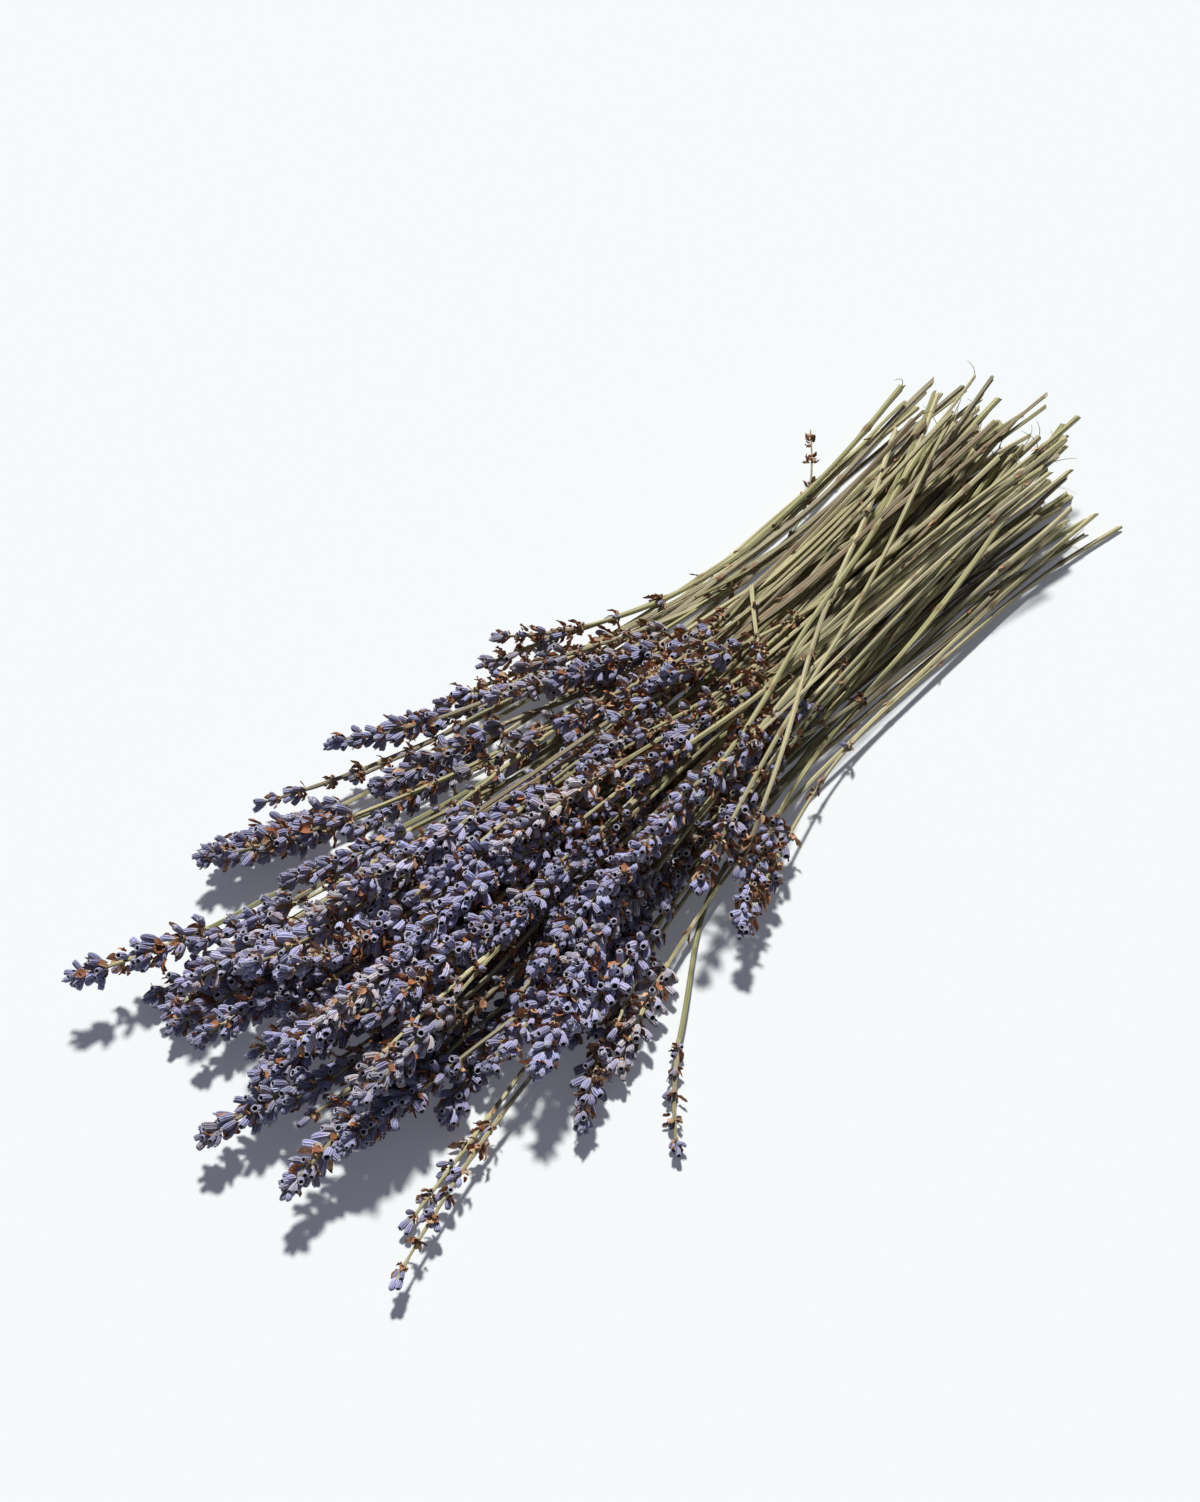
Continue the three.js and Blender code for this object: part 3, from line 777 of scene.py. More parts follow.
class Shader:
    """The node tree of the sky, or of a finish that reads the values every mesh here carries."""

    SEED_SPREAD = (37.0, 23.0, 51.0)

    def __init__(self, owner: Union[bpy.types.Material, bpy.types.World]) -> None:
        """Start with no nodes.

        Args:
            owner: The material or world whose tree it is.
        """
        self.owner = owner
        owner.use_nodes = True
        self.tree = owner.node_tree
        self.tree.nodes.clear()

    def node(self, kind: str, settings: Optional[dict] = None, sockets: Optional[dict] = None,
             output: Union[int, str] = 0) -> Wire:
        """Add a node.

        Args:
            kind: The node's type.
            settings: Its settings, set first. The stops of a ramp are pairs under "stops".
            sockets: The values or wires of its input sockets, by name or number.
            output: Which of its outputs to return.

        Returns:
            The output, which wraps nothing if the node has none.
        """
        made = self.tree.nodes.new(kind)
        for name, value in (settings or {}).items():
            if name == "stops":
                elements = made.color_ramp.elements
                while len(elements) < len(value):
                    elements.new(1.0)
                for element, (place, colour) in zip(elements, value):
                    element.position, element.color = place, colour
            else:
                setattr(made, name, value)
        for name, value in (sockets or {}).items():
            if isinstance(value, Wire):
                self.tree.links.new(value.socket, made.inputs[name])
            else:
                made.inputs[name].default_value = value
        return Wire(self, made.outputs[output] if len(made.outputs) else None)

    def carried(self, name: str, output: str = "Vector") -> Wire:
        """Return a value that the mesh carries at its vertices."""
        return self.node("ShaderNodeAttribute", {"attribute_name": name}, {}, output)

    def noise(self, where: Wire, scale: float, detail: float = 2.0) -> Wire:
        """Return noise from 0 to 1."""
        sockets = {"Vector": where, "Scale": scale, "Detail": detail}
        return self.node("ShaderNodeTexNoise", {}, sockets, "Fac")

    def stretched(self, where: Wire, scale: tuple, seeds: Wire) -> Wire:
        """Return a vector scaled along each axis, and moved by a part's own seeds.

        Args:
            where: The vector.
            scale: How much it is scaled along each axis.
            seeds: The part's own numbers.

        Returns:
            The new vector.
        """
        scaled = self.node("ShaderNodeVectorMath", {"operation": "MULTIPLY"}, {0: where, 1: scale})
        sockets = {0: seeds, 1: self.SEED_SPREAD, 2: scaled}
        return self.node("ShaderNodeVectorMath", {"operation": "MULTIPLY_ADD"}, sockets)

    def solid(self) -> Wire:
        """Return where a point is in the shared frame, in metres."""
        return self.node("ShaderNodeTexCoord", {}, {}, "Object")

    def mix(self, share: Value, a: Value, b: Value, way: str = "MIX") -> Wire:
        """Return a mix of two colours."""
        settings = {"data_type": "RGBA", "blend_type": way, "clamp_factor": True}
        return self.node("ShaderNodeMix", settings, {0: share, 6: a, 7: b}, 2)

    def shade(self, colour: Wire, light: Wire) -> Wire:
        """Return a colour made lighter or darker by a number."""
        grey = self.node("ShaderNodeCombineXYZ", {}, {0: light, 1: light, 2: light})
        return self.mix(1.0, colour, grey, "MULTIPLY")

    def finish(self, colour: Wire, roughness: Value, height: Wire, depth: float,
               **constants: Value) -> bpy.types.Material:
        """Close the tree with a surface.

        Args:
            colour: The base colour.
            roughness: How rough the surface is.
            height: The relief that the bump follows.
            depth: How deep the relief is, in metres.
            **constants: Other sockets of the surface, with _ for a space, that stay the same.

        Returns:
            The material.
        """
        bump = self.node("ShaderNodeBump", {}, {"Height": height, "Distance": depth})
        sockets = {"Base Color": colour, "Roughness": roughness, "Normal": bump}
        sockets.update({name.replace("_", " "): value for name, value in constants.items()})
        surface = self.node("ShaderNodeBsdfPrincipled", {}, sockets)
        self.node("ShaderNodeOutputMaterial", {}, {"Surface": surface})
        return self.owner


@dataclass(frozen=True)
class CalyxFelt:
    """The violet, ribbed and downy skin of a calyx, with its pale lip, and near-black painted shade down
    inside its mouth.
    """

    violet: Colour = srgb(118, 112, 154)
    blue: Colour = srgb(134, 137, 178)
    ash: Colour = srgb(152, 149, 156)
    pale: Colour = srgb(208, 206, 216)
    cream: Colour = srgb(184, 176, 166)
    plum: Colour = srgb(78, 66, 100)
    brown: Colour = srgb(138, 112, 94)
    tan: Colour = srgb(186, 148, 110)
    throat_shade: Colour = srgb(30, 24, 28)
    ribs: int = 10

    def make(self) -> bpy.types.Material:
        """Build the material.

        Returns:
            The material.
        """
        s = Shader(bpy.data.materials.new("calyx_felt"))
        place, tint, zone = s.carried("place"), s.carried("tint"), s.carried("zone", "Fac")
        x, y, along = place.split()
        light, hue, age = tint.split()
        around = x.maths("ARCTAN2", y, x)
        rib = around.wave(self.ribs) ** 2.5
        patch = s.noise(s.stretched(place, (1.1, 1.1, 1.4), tint), 1.0, 3.0)
        down = s.noise(s.solid(), 2600.0)
        fresh = s.mix((hue + patch * 0.7 - 0.35).rising(0.1, 0.9), self.violet, self.blue)
        fresh = s.mix((patch * 1.6 - 0.6) * 0.8, fresh, self.plum)
        dry = s.mix(patch.rising(0.35, 0.7), self.ash, self.brown)
        skin = s.mix(age.rising(0.3, 0.95), fresh, dry)
        skin = s.mix(along.rising(0.5, 0.05) * 0.75, skin, self.cream)
        skin = s.mix(rib * (0.6 - along * 0.25), skin, self.pale)
        skin = s.mix(down.rising(0.5, 0.85) * 0.45, skin, self.pale)
        skin = s.mix(age.rising(1.2, 1.5), skin, self.tan)
        # Each calyx's brightness differs at random, and also carries the painted shade of low and inner
        # calyces.
        skin = s.shade(skin, light * 0.95 + 0.66 + down * 0.25 + rib * 0.15)
        skin = s.mix(zone.rising(0.1, 0.45) * 0.8, skin, self.pale)
        # Painted shade: the inside of an open mouth is painted near black.
        skin = s.mix(zone.rising(0.52, 0.8), skin, self.throat_shade)
        height = rib * 0.8 + down * 0.5
        return s.finish(skin, 0.85, height, 0.0003, Sheen_Weight=0.25, Specular_IOR_Level=0.25)


@dataclass(frozen=True)
class BractPaper:
    """The rusty, veined paper of a bract."""

    rust: Colour = srgb(160, 102, 68)
    tan: Colour = srgb(200, 164, 130)
    dark: Colour = srgb(96, 62, 44)
    veins: float = 22.0

    def make(self) -> bpy.types.Material:
        """Build the material.

        Returns:
            The material.
        """
        s = Shader(bpy.data.materials.new("bract_paper"))
        place, tint = s.carried("place"), s.carried("tint")
        across, along, _ = place.split()
        light, hue, age = tint.split()
        vein = (across * (1.15 - along * 0.3)).wave(self.veins)
        patch = s.noise(s.stretched(place, (1.5, 2.0, 1.0), tint), 1.2, 3.0)
        grain = s.noise(s.solid(), 2200.0)
        paper = s.mix((hue + patch * 0.8 - 0.4).rising(0.35, 0.95), self.rust, self.tan)
        paper = s.mix((patch - 0.1 + age * 0.4).rising(0.55, 0.95) * 0.7, paper, self.dark)
        paper = s.mix(vein ** 4.0 * 0.3, paper, self.dark)
        paper = s.shade(paper, light * 0.6 + 0.62 + grain * 0.22)
        height = vein * 0.6 + grain * 0.4
        return s.finish(paper, 0.7, height, 0.00012, Specular_IOR_Level=0.35)


@dataclass(frozen=True)
class StemBark:
    """The grooved, straw and khaki skin of a dry stem, with its pale pith where it is cut."""

    name: str = "stem_bark"
    green: Colour = srgb(146, 148, 96)
    khaki: Colour = srgb(174, 166, 122)
    straw: Colour = srgb(208, 198, 154)
    ash: Colour = srgb(142, 134, 110)
    brown: Colour = srgb(146, 122, 88)
    scar: Colour = srgb(118, 88, 60)
    pith: Colour = srgb(212, 200, 166)
    ribs: int = 4

    def make(self) -> bpy.types.Material:
        """Build the material.

        Returns:
            The material.
        """
        s = Shader(bpy.data.materials.new(self.name))
        place, tint, zone = s.carried("place"), s.carried("tint"), s.carried("zone", "Fac")
        x, y, _ = place.split()
        light, hue, _ = tint.split()
        around = x.maths("ARCTAN2", y, x)
        # Painted highlight and shade: the corners of a stem are painted lighter, and the grooves between
        # them darker.
        painted_corner_light = 1.0 - around.wave(self.ribs)
        fine = around.wave(self.ribs * 5)
        patch = s.noise(s.stretched(place, (0.7, 0.7, 0.03), tint), 1.0, 3.0)
        streak = s.noise(s.stretched(place, (3.2, 3.2, 0.06), tint), 1.0, 3.0)
        speck = s.noise(s.stretched(place, (2.0, 2.0, 0.9), tint), 1.0)
        grain = s.noise(s.solid(), 3000.0)
        stops = [(0.0, self.green), (0.3, self.khaki), (0.52, self.straw), (0.75, self.ash),
                 (1.0, self.brown)]
        mixed = hue * 0.85 + patch * 0.6 - 0.22
        skin = s.node("ShaderNodeValToRGB", {"stops": stops}, {0: mixed}, "Color")
        skin = s.mix(streak.rising(0.5, 0.72) * 0.5, skin, self.straw)
        skin = s.mix(streak.rising(0.48, 0.25) * 0.5, skin, self.ash)
        skin = s.mix(speck.rising(0.66, 0.78) * 0.55, skin, self.scar)
        skin = s.mix(zone.rising(0.1, 0.6) * (1.0 - zone.rising(1.1, 1.3)) * 0.6, skin, self.scar)
        skin = s.mix(zone.rising(1.4, 1.6), skin, self.pith)
        # Each stem's brightness differs at random, and inner stalks also carry painted shade.
        skin = s.shade(skin, light * 0.4 + 0.56 + painted_corner_light * 0.24 + fine * 0.08 + grain * 0.14)
        height = fine * 0.4 + streak * 0.6 + grain * 0.2
        return s.finish(skin, 0.62, height, 0.00018, Specular_IOR_Level=0.4)


@dataclass(frozen=True)
class FloorPaper:
    """The plain pale floor. It glows faintly, so that the shadows on it stay light."""

    pale: Colour = srgb(198, 200, 197)
    grey: Colour = srgb(185, 187, 186)
    glow: Colour = srgb(230, 233, 255)
    glow_strength: float = 0.1

    def make(self) -> bpy.types.Material:
        """Build the material.

        Returns:
            The material.
        """
        s = Shader(bpy.data.materials.new("floor_paper"))
        grain = s.noise(s.solid(), 900.0, 3.0)
        colour = s.mix(grain * 0.04, self.pale, self.grey)
        return s.finish(colour, 0.9, grain, 0.00002, Specular_IOR_Level=0.1,
                        Emission_Color=self.glow, Emission_Strength=self.glow_strength)


@dataclass(frozen=True)
class Form:
    """A small part in its own frame: x and y across it, z along it, all of about unit size."""

    points: Array
    quads: Array
    tris: Array
    place: Array
    zone: Array


def unit(vectors: Array) -> Array:
    """Return vectors of length one."""
    return vectors / np.maximum(np.sqrt(dot(vectors, vectors)), NEARLY_NOTHING)[..., None]


def circle(sides: int) -> Array:
    """Return the angles at which the corners of a ring stand."""
    return np.arange(sides) * 2 * np.pi / sides


def ring_places(angle: Array, along: Array) -> Array:
    """Return where the vertices of rings are: their direction around, and how far along.

    Args:
        angle: The angles of the corners of a ring.
        along: How far along each ring is.

    Returns:
        Three numbers for each vertex.
    """
    count, sides = len(along), len(angle)
    return np.stack([np.tile(np.cos(angle), count), np.tile(np.sin(angle), count),
                     np.repeat(along, sides)], -1)


def bands(rows: int, sides: int, closed: bool = True) -> Array:
    """Return the faces between rows of vertices, each row closed to a ring or left open.

    Args:
        rows: How many rows there are.
        sides: How many vertices a row has.
        closed: Whether the last vertex of a row is joined to the first.

    Returns:
        The four corners of each face.
    """
    row, side = np.meshgrid(np.arange(rows - 1), np.arange(sides if closed else sides - 1),
                            indexing="ij")
    a, b = row * sides + side, row * sides + (side + 1) % sides
    return np.stack([a, b, b + sides, a + sides], -1).reshape(-1, 4)


class Line:
    """A smooth line with its length measured along it, and a frame at every place."""

    STEPS = 12
    WAVE_LENGTHS = (12, 26)
    WAVE_ASIDE = 0.9 * MM
    WAVE_UP = 0.5 * MM

    def __init__(self, points: Array, base: int = 0) -> None:
        """Measure a line through some points, one of which is the base of its head.

        Args:
            points: The points.
            base: Which of them is the base.
        """
        self.points = points
        steps = points[1:] - points[:-1]
        self.far = np.concatenate([[0.0], np.cumsum(np.sqrt(dot(steps, steps)))])
        self.head = self.far[base]

    @classmethod
    def bent(cls, start: Array, pull: Array, end: Array, steps: int) -> "Line":
        """Return a line that is bent one way, from start to end, by a third point."""
        t = np.linspace(0, 1, steps + 1)[:, None]
        return cls(start * (1 - t) ** 2 + pull * 2 * t * (1 - t) + end * t ** 2)

    @classmethod
    def of_stalk(cls, stalk: Stalk) -> "Line":
        """Run a line from the cut end of a stalk, smoothly up its stem, to the tip of its head.

        Args:
            stalk: The stalk.

        Returns:
            The line.
        """
        chain = stalk.points
        ends = np.vstack([2 * chain[0] - chain[1], chain[:STEM_POINTS + 1]])
        t = (np.arange(cls.STEPS) / cls.STEPS)[:, None]
        parts = []
        for i in range(BASE):
            a, b, c, d = ends[i:i + 4]
            curve = 2 * b + (c - a) * t + (2 * a - 5 * b + 4 * c - d) * t ** 2
            parts.append(0.5 * (curve + (3 * b - a - 3 * c + d) * t ** 3))
        base, middle, tip = chain[BASE:]
        pull = 2 * middle - (base + tip) / 2
        parts.append(cls.bent(base, pull, tip, 2 * cls.STEPS).points)
        line = cls(np.concatenate(parts), BASE * cls.STEPS)
        rng = np.random.default_rng(LINE_SEED + stalk.seed)
        _, _, side, rise = line.at(line.far)
        for way, size in ((side, cls.WAVE_ASIDE), (rise, cls.WAVE_UP)):
            turns, start = line.far / (rng.uniform(*cls.WAVE_LENGTHS) * MM), rng.uniform(0, 6)
            line.points = line.points + way * (size * np.sin(turns + start))[:, None]
        return line

    def at(self, far: Array) -> Spot:
        """Find places along the line.

        Args:
            far: How far along each place is.

        Returns:
            The points there, and the directions along, to the side and up.
        """
        step = 0.5 * MM
        where, ahead, behind = (
            np.stack([np.interp(far + move, self.far, self.points[:, k]) for k in range(3)], -1)
            for move in (0.0, step, -step)
        )
        along = unit(ahead - behind)
        side = unit(np.cross((0.0, 0.0, 1.0), along))
        return where, along, side, np.cross(along, side)

    def spot(self, far: float) -> Spot:
        """Return one place: the point, and the directions along, to the side and up."""
        return tuple(value[0] for value in self.at(np.array([far])))

    def rings(self, far: Array, radius: Array, angle: Array) -> Array:
        """Return a ring of points around the line at each of some places.

        Args:
            far: How far along each place is.
            radius: The radius at each corner.
            angle: The angle at which each corner stands.

        Returns:
            The corners of each ring.
        """
        point, _, side, rise = self.at(far)
        ring = point[:, None] + side[:, None] * (radius * np.cos(angle))[..., None]
        return ring + rise[:, None] * (radius * np.sin(angle))[..., None]


@dataclass
class Skin:
    """A mesh that grows part by part and carries three values at every vertex."""

    name: str
    rows: list[tuple] = field(default_factory=list)
    count: int = 0

    def add(self, points: Array, quads: Array, tris: Array, place: Array,
            tint: Array, zone: Array) -> None:
        """Add vertices with their faces and values.

        Args:
            points: The vertices.
            quads: The faces with four corners, as numbers of these vertices.
            tris: The faces with three corners.
            place: Where each vertex is on its own part.
            tint: Three numbers that are the part's own.
            zone: Which zone of the part each vertex is in.
        """
        tint = np.broadcast_to(tint, place.shape)
        self.rows.append((points, quads + self.count, tris + self.count, place, tint, zone))
        self.count += len(points)

    def scatter(self, form: Form, origin: Array, axis: Array, out: Array,
                size: Array, bend: Array, tint: Array) -> None:
        """Add a small part at many places.

        Args:
            form: The part.
            origin: Where its foot is.
            axis: Which way it points.
            out: Which way its outer side faces.
            size: How big it is across, across the other way, and along itself.
            bend: How far its end curves outwards, as a share of its length.
            tint: The three numbers of its finish.
        """
        count, corners = len(origin), len(form.points)
        if not count:
            return
        local = form.points[None] * size[:, None, :]
        lean = (form.points[:, 2] ** 2)[None] * (bend * size[:, 2])[:, None]
        points = origin[:, None] + local[..., :1] * out[:, None]
        points = points + local[..., 1:2] * np.cross(axis, out)[:, None]
        points = points + local[..., 2:] * axis[:, None] + lean[..., None] * out[:, None]
        steps = (np.arange(count) * corners)[:, None, None]
        self.add(
            points.reshape(-1, 3),
            (form.quads[None] + steps).reshape(-1, 4),
            (form.tris[None] + steps).reshape(-1, 3),
            np.tile(form.place, (count, 1)),
            np.repeat(tint, corners, 0),
            np.tile(form.zone, count),
        )

    def rod(self, line: Line, far: Array, thick: Array, sides: int,
            tint: Array) -> None:
        """Add a thin round rod that follows a line.

        Args:
            line: The line.
            far: How far along it each ring of the rod is.
            thick: The radius of each ring.
            sides: How many sides the rod has.
            tint: The three numbers of its finish.
        """
        angle, count = circle(sides), len(far)
        points = line.rings(far, thick[:, None], angle).reshape(-1, 3)
        last, k = (count - 1) * sides, np.arange(1, sides - 1)
        lids = [np.stack([0 * k, k + 1, k], -1), last + np.stack([0 * k, k, k + 1], -1)]
        self.add(points, bands(count, sides), np.concatenate(lids), ring_places(angle, far / MM), tint,
                 np.zeros(count * sides))

    def make(self, material: bpy.types.Material, slot: str) -> bpy.types.Object:
        """Make the object.

        Args:
            material: Its finish.
            slot: Not used.

        Returns:
            The object, which rides on the bunch.
        """
        points, quads, tris, *values = (np.concatenate(part) for part in zip(*self.rows))
        points[:, 2] = np.maximum(points[:, 2], FLOOR_GAP)
        mesh = bpy.data.meshes.new(self.name)
        mesh.vertices.add(len(points))
        mesh.vertices.foreach_set("co", points.ravel())
        mesh.loops.add(quads.size + tris.size)
        mesh.loops.foreach_set("vertex_index", np.concatenate([quads.ravel(), tris.ravel()]))
        faces = len(quads) + len(tris)
        mesh.polygons.add(faces)
        starts = [np.arange(len(quads)) * 4, quads.size + np.arange(len(tris)) * 3]
        mesh.polygons.foreach_set("loop_start", np.concatenate(starts))
        mesh.polygons.foreach_set("use_smooth", np.ones(faces, bool))
        mesh.update(calc_edges=True)
        for name, value in zip(("place", "tint", "zone"), values):
            kind, key = ("FLOAT", "value") if value.ndim == 1 else ("FLOAT_VECTOR", "vector")
            carried = mesh.attributes.new(name, kind, "POINT")
            carried.data.foreach_set(key, value.astype(np.float32).ravel())
        mesh.materials.append(material)
        made = bpy.data.objects.new(self.name, mesh)
        bpy.context.scene.collection.objects.link(made)
        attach(made, BODY)
        return made


class Mouth(Enum):
    """How the mouth of a calyx is, or whether only its stub is left."""

    OPEN = 0
    CLOSED = 1
    WITHERED = 2
    STUB = 3


@dataclass(frozen=True)
class Calyx:
    """A ribbed tube that swells towards its mouth. Rings are (radius, height, zone)."""

    sides: int = 10
    variants: int = 3
    seed: int = 5
    lobe: float = 0.045
    uneven: float = 0.05
    teeth: int = 5
    tooth: float = 0.035
    lip_zone: float = 0.1
    end: float = 0.02
    body: tuple = ((0.30, 0.0, 0.0), (0.56, 0.10, 0.0), (0.84, 0.30, 0.0), (0.98, 0.52, 0.0),
                   (1.0, 0.70, 0.0))
    open: tuple = ((0.94, 0.86, 0.0), (0.86, 0.96, 0.2), (0.74, 1.0, 0.45), (0.6, 0.96, 0.55),
                   (0.5, 0.78, 1.0), (0.4, 0.5, 1.0))
    closed: tuple = ((0.90, 0.84, 0.0), (0.68, 0.95, 0.0), (0.36, 1.01, 0.1))
    withered: tuple = ((0.86, 0.84, 0.0), (0.74, 0.93, 0.4), (0.46, 0.92, 0.6), (0.4, 1.03, 0.5),
                       (0.2, 1.1, 0.5))
    stub: tuple = ((0.35, 0.0, 0.0), (0.62, 0.09, 0.0), (0.78, 0.22, 0.0), (0.74, 0.29, 0.3),
                   (0.56, 0.26, 0.5), (0.4, 0.12, 0.9))

    def form(self, mouth: Mouth, rng: Random) -> Form:
        """Build one variant.

        Args:
            mouth: How its mouth is.
            rng: The random numbers that make it uneven.

        Returns:
            The calyx, with its last ring closed by a point.
        """
        ends = {Mouth.OPEN: self.body + self.open, Mouth.CLOSED: self.body + self.closed,
                Mouth.WITHERED: self.body + self.withered, Mouth.STUB: self.stub}
        rings, sides = np.array(ends[mouth]), self.sides
        angle, top = circle(sides), rings[-1, 1]
        ribs = 1 + self.lobe * np.cos(angle * sides / 2)
        radius = rings[:, :1] * ribs * (1 + self.uneven * rng.standard_normal((len(rings), sides)))
        teeth = self.tooth * np.cos(self.teeth * angle + rng.uniform(0, 6))
        height = rings[:, 1:2] + np.where(rings[:, 2:] > self.lip_zone, teeth, 0)
        ring = np.stack([radius * np.cos(angle), radius * np.sin(angle), height], -1)
        closing = self.end if mouth is Mouth.CLOSED else -self.end
        points = np.vstack([ring.reshape(-1, 3), [0.0, 0.0, top + closing]])
        place = np.vstack([ring_places(angle, rings[:, 1]), [1.0, 0.0, top]])
        start, side = (len(rings) - 1) * sides, np.arange(sides)
        tris = np.stack([start + side, start + (side + 1) % sides, 0 * side + len(points) - 1], -1)
        zone = np.append(np.repeat(rings[:, 2], sides), rings[-1, 2])
        return Form(points, bands(len(rings), sides), tris, place, zone)

    def forms(self) -> list[Form]:
        """Build all variants, in the order of the mouths."""
        rng = np.random.default_rng(self.seed)
        return [self.form(mouth, rng) for mouth in Mouth for _ in range(self.variants)]


@dataclass(frozen=True)
class Bract:
    """A pointed papery scale, cupped across and curled along."""

    rows: int = 6
    columns: int = 5
    variants: int = 4
    seed: int = 6
    cup: float = 0.4
    crease: float = 0.24
    round_foot: float = 0.04
    raggedness: Span = (0.8, 1.15)

    def form(self, rng: Random) -> Form:
        """Build one variant.

        Args:
            rng: The random numbers that make it uneven.

        Returns:
            The bract.
        """
        along, across = np.meshgrid(np.linspace(0, 1, self.rows), np.linspace(-1, 1, self.columns),
                                    indexing="ij")
        wide = np.sqrt(along + self.round_foot) * (1 - along ** 3.0) * 1.1 + 0.05
        wide = wide * rng.uniform(*self.raggedness, along.shape)
        x = self.cup * across ** 2 * wide + rng.uniform(-self.crease, self.crease, along.shape)
        points = np.stack([x, across * wide, along - 0.04 * across ** 2], -1).reshape(-1, 3)
        place = np.stack([across, along, 0 * along], -1).reshape(-1, 3)
        quads = bands(self.rows, self.columns, closed=False)
        return Form(points, quads, np.zeros((0, 3), int), place, np.zeros(len(points)))

    def forms(self) -> list[Form]:
        """Build all variants."""
        rng = np.random.default_rng(self.seed)
        return [self.form(rng) for _ in range(self.variants)]


@dataclass
class Sprig:
    """Small parts of one kind, noted one by one as they are placed around a line."""

    rows: list[tuple] = field(default_factory=list)
    variant: list[int] = field(default_factory=list)

    def add(self, spot: Spot, angle: float, tilt: float, off: float, ahead: float,
            size: tuple, bend: float, tint: tuple, variant: int) -> None:
        """Note one part.

        Args:
            spot: The point on the line, and the directions along, to the side and up there.
            angle: Where it stands around the line.
            tilt: How far it leans away from the line.
            off: How far its foot is from the line.
            ahead: How far its foot is along the line from the point.
            size: How big it is across, across the other way, and along itself.
            bend: How far its end curves outwards, as a share of its length.
            tint: The three numbers of its finish.
            variant: Which form it has.
        """
        point, along, side, rise = spot
        radial = side * math.cos(angle) + rise * math.sin(angle)
        axis = along * math.cos(tilt) + radial * math.sin(tilt)
        out = radial * math.cos(tilt) - along * math.sin(tilt)
        self.rows.append((point + radial * off + along * ahead, axis, out, size, bend, tint))
        self.variant.append(variant)

    def dress(self, skin: Skin, forms: list[Form]) -> None:
        """Add all of them to a mesh.

        Args:
            skin: The mesh.
            forms: Their forms.
        """
        if not self.rows:
            return
        columns = [np.array(values) for values in zip(*self.rows)]
        variant = np.array(self.variant)
        for n, form in enumerate(forms):
            skin.scatter(form, *(values[variant == n] for values in columns))


@dataclass(frozen=True)
class Look:
    """What the calyces of one whorl have in common."""

    scale: float
    age: float
    worn: float
    light: float


@dataclass(frozen=True)
class Kit:
    """What all groups are built from: the lines of the stalks, small forms and finishes."""

    lines: dict[int, Line]
    looks: dict[str, bpy.types.Material]
    calyces: list[Form] = field(default_factory=Calyx().forms)
    bracts: list[Form] = field(default_factory=Bract().forms)


@dataclass
class Group:
    """Some stalks of which one part, the stems or the heads, is built as a few pieces."""

    name: str
    stalks: list[Stalk]
    node: str = ""
    # How much darker its colours are painted, as painted shade for stalks inside the pile.
    shade: float = 0.0

    def dress(self, kit: Kit) -> list[bpy.types.Object]:
        """Build the pieces."""
        raise NotImplementedError

    def build(self, kit: Kit) -> list[bpy.types.Object]:
        """Build the pieces, and hide the imported node of the group, if there is one.

        Args:
            kit: What they are built from.

        Returns:
            The pieces.
        """
        pieces = self.dress(kit)
        if self.node:
            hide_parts(self.node)
        return pieces


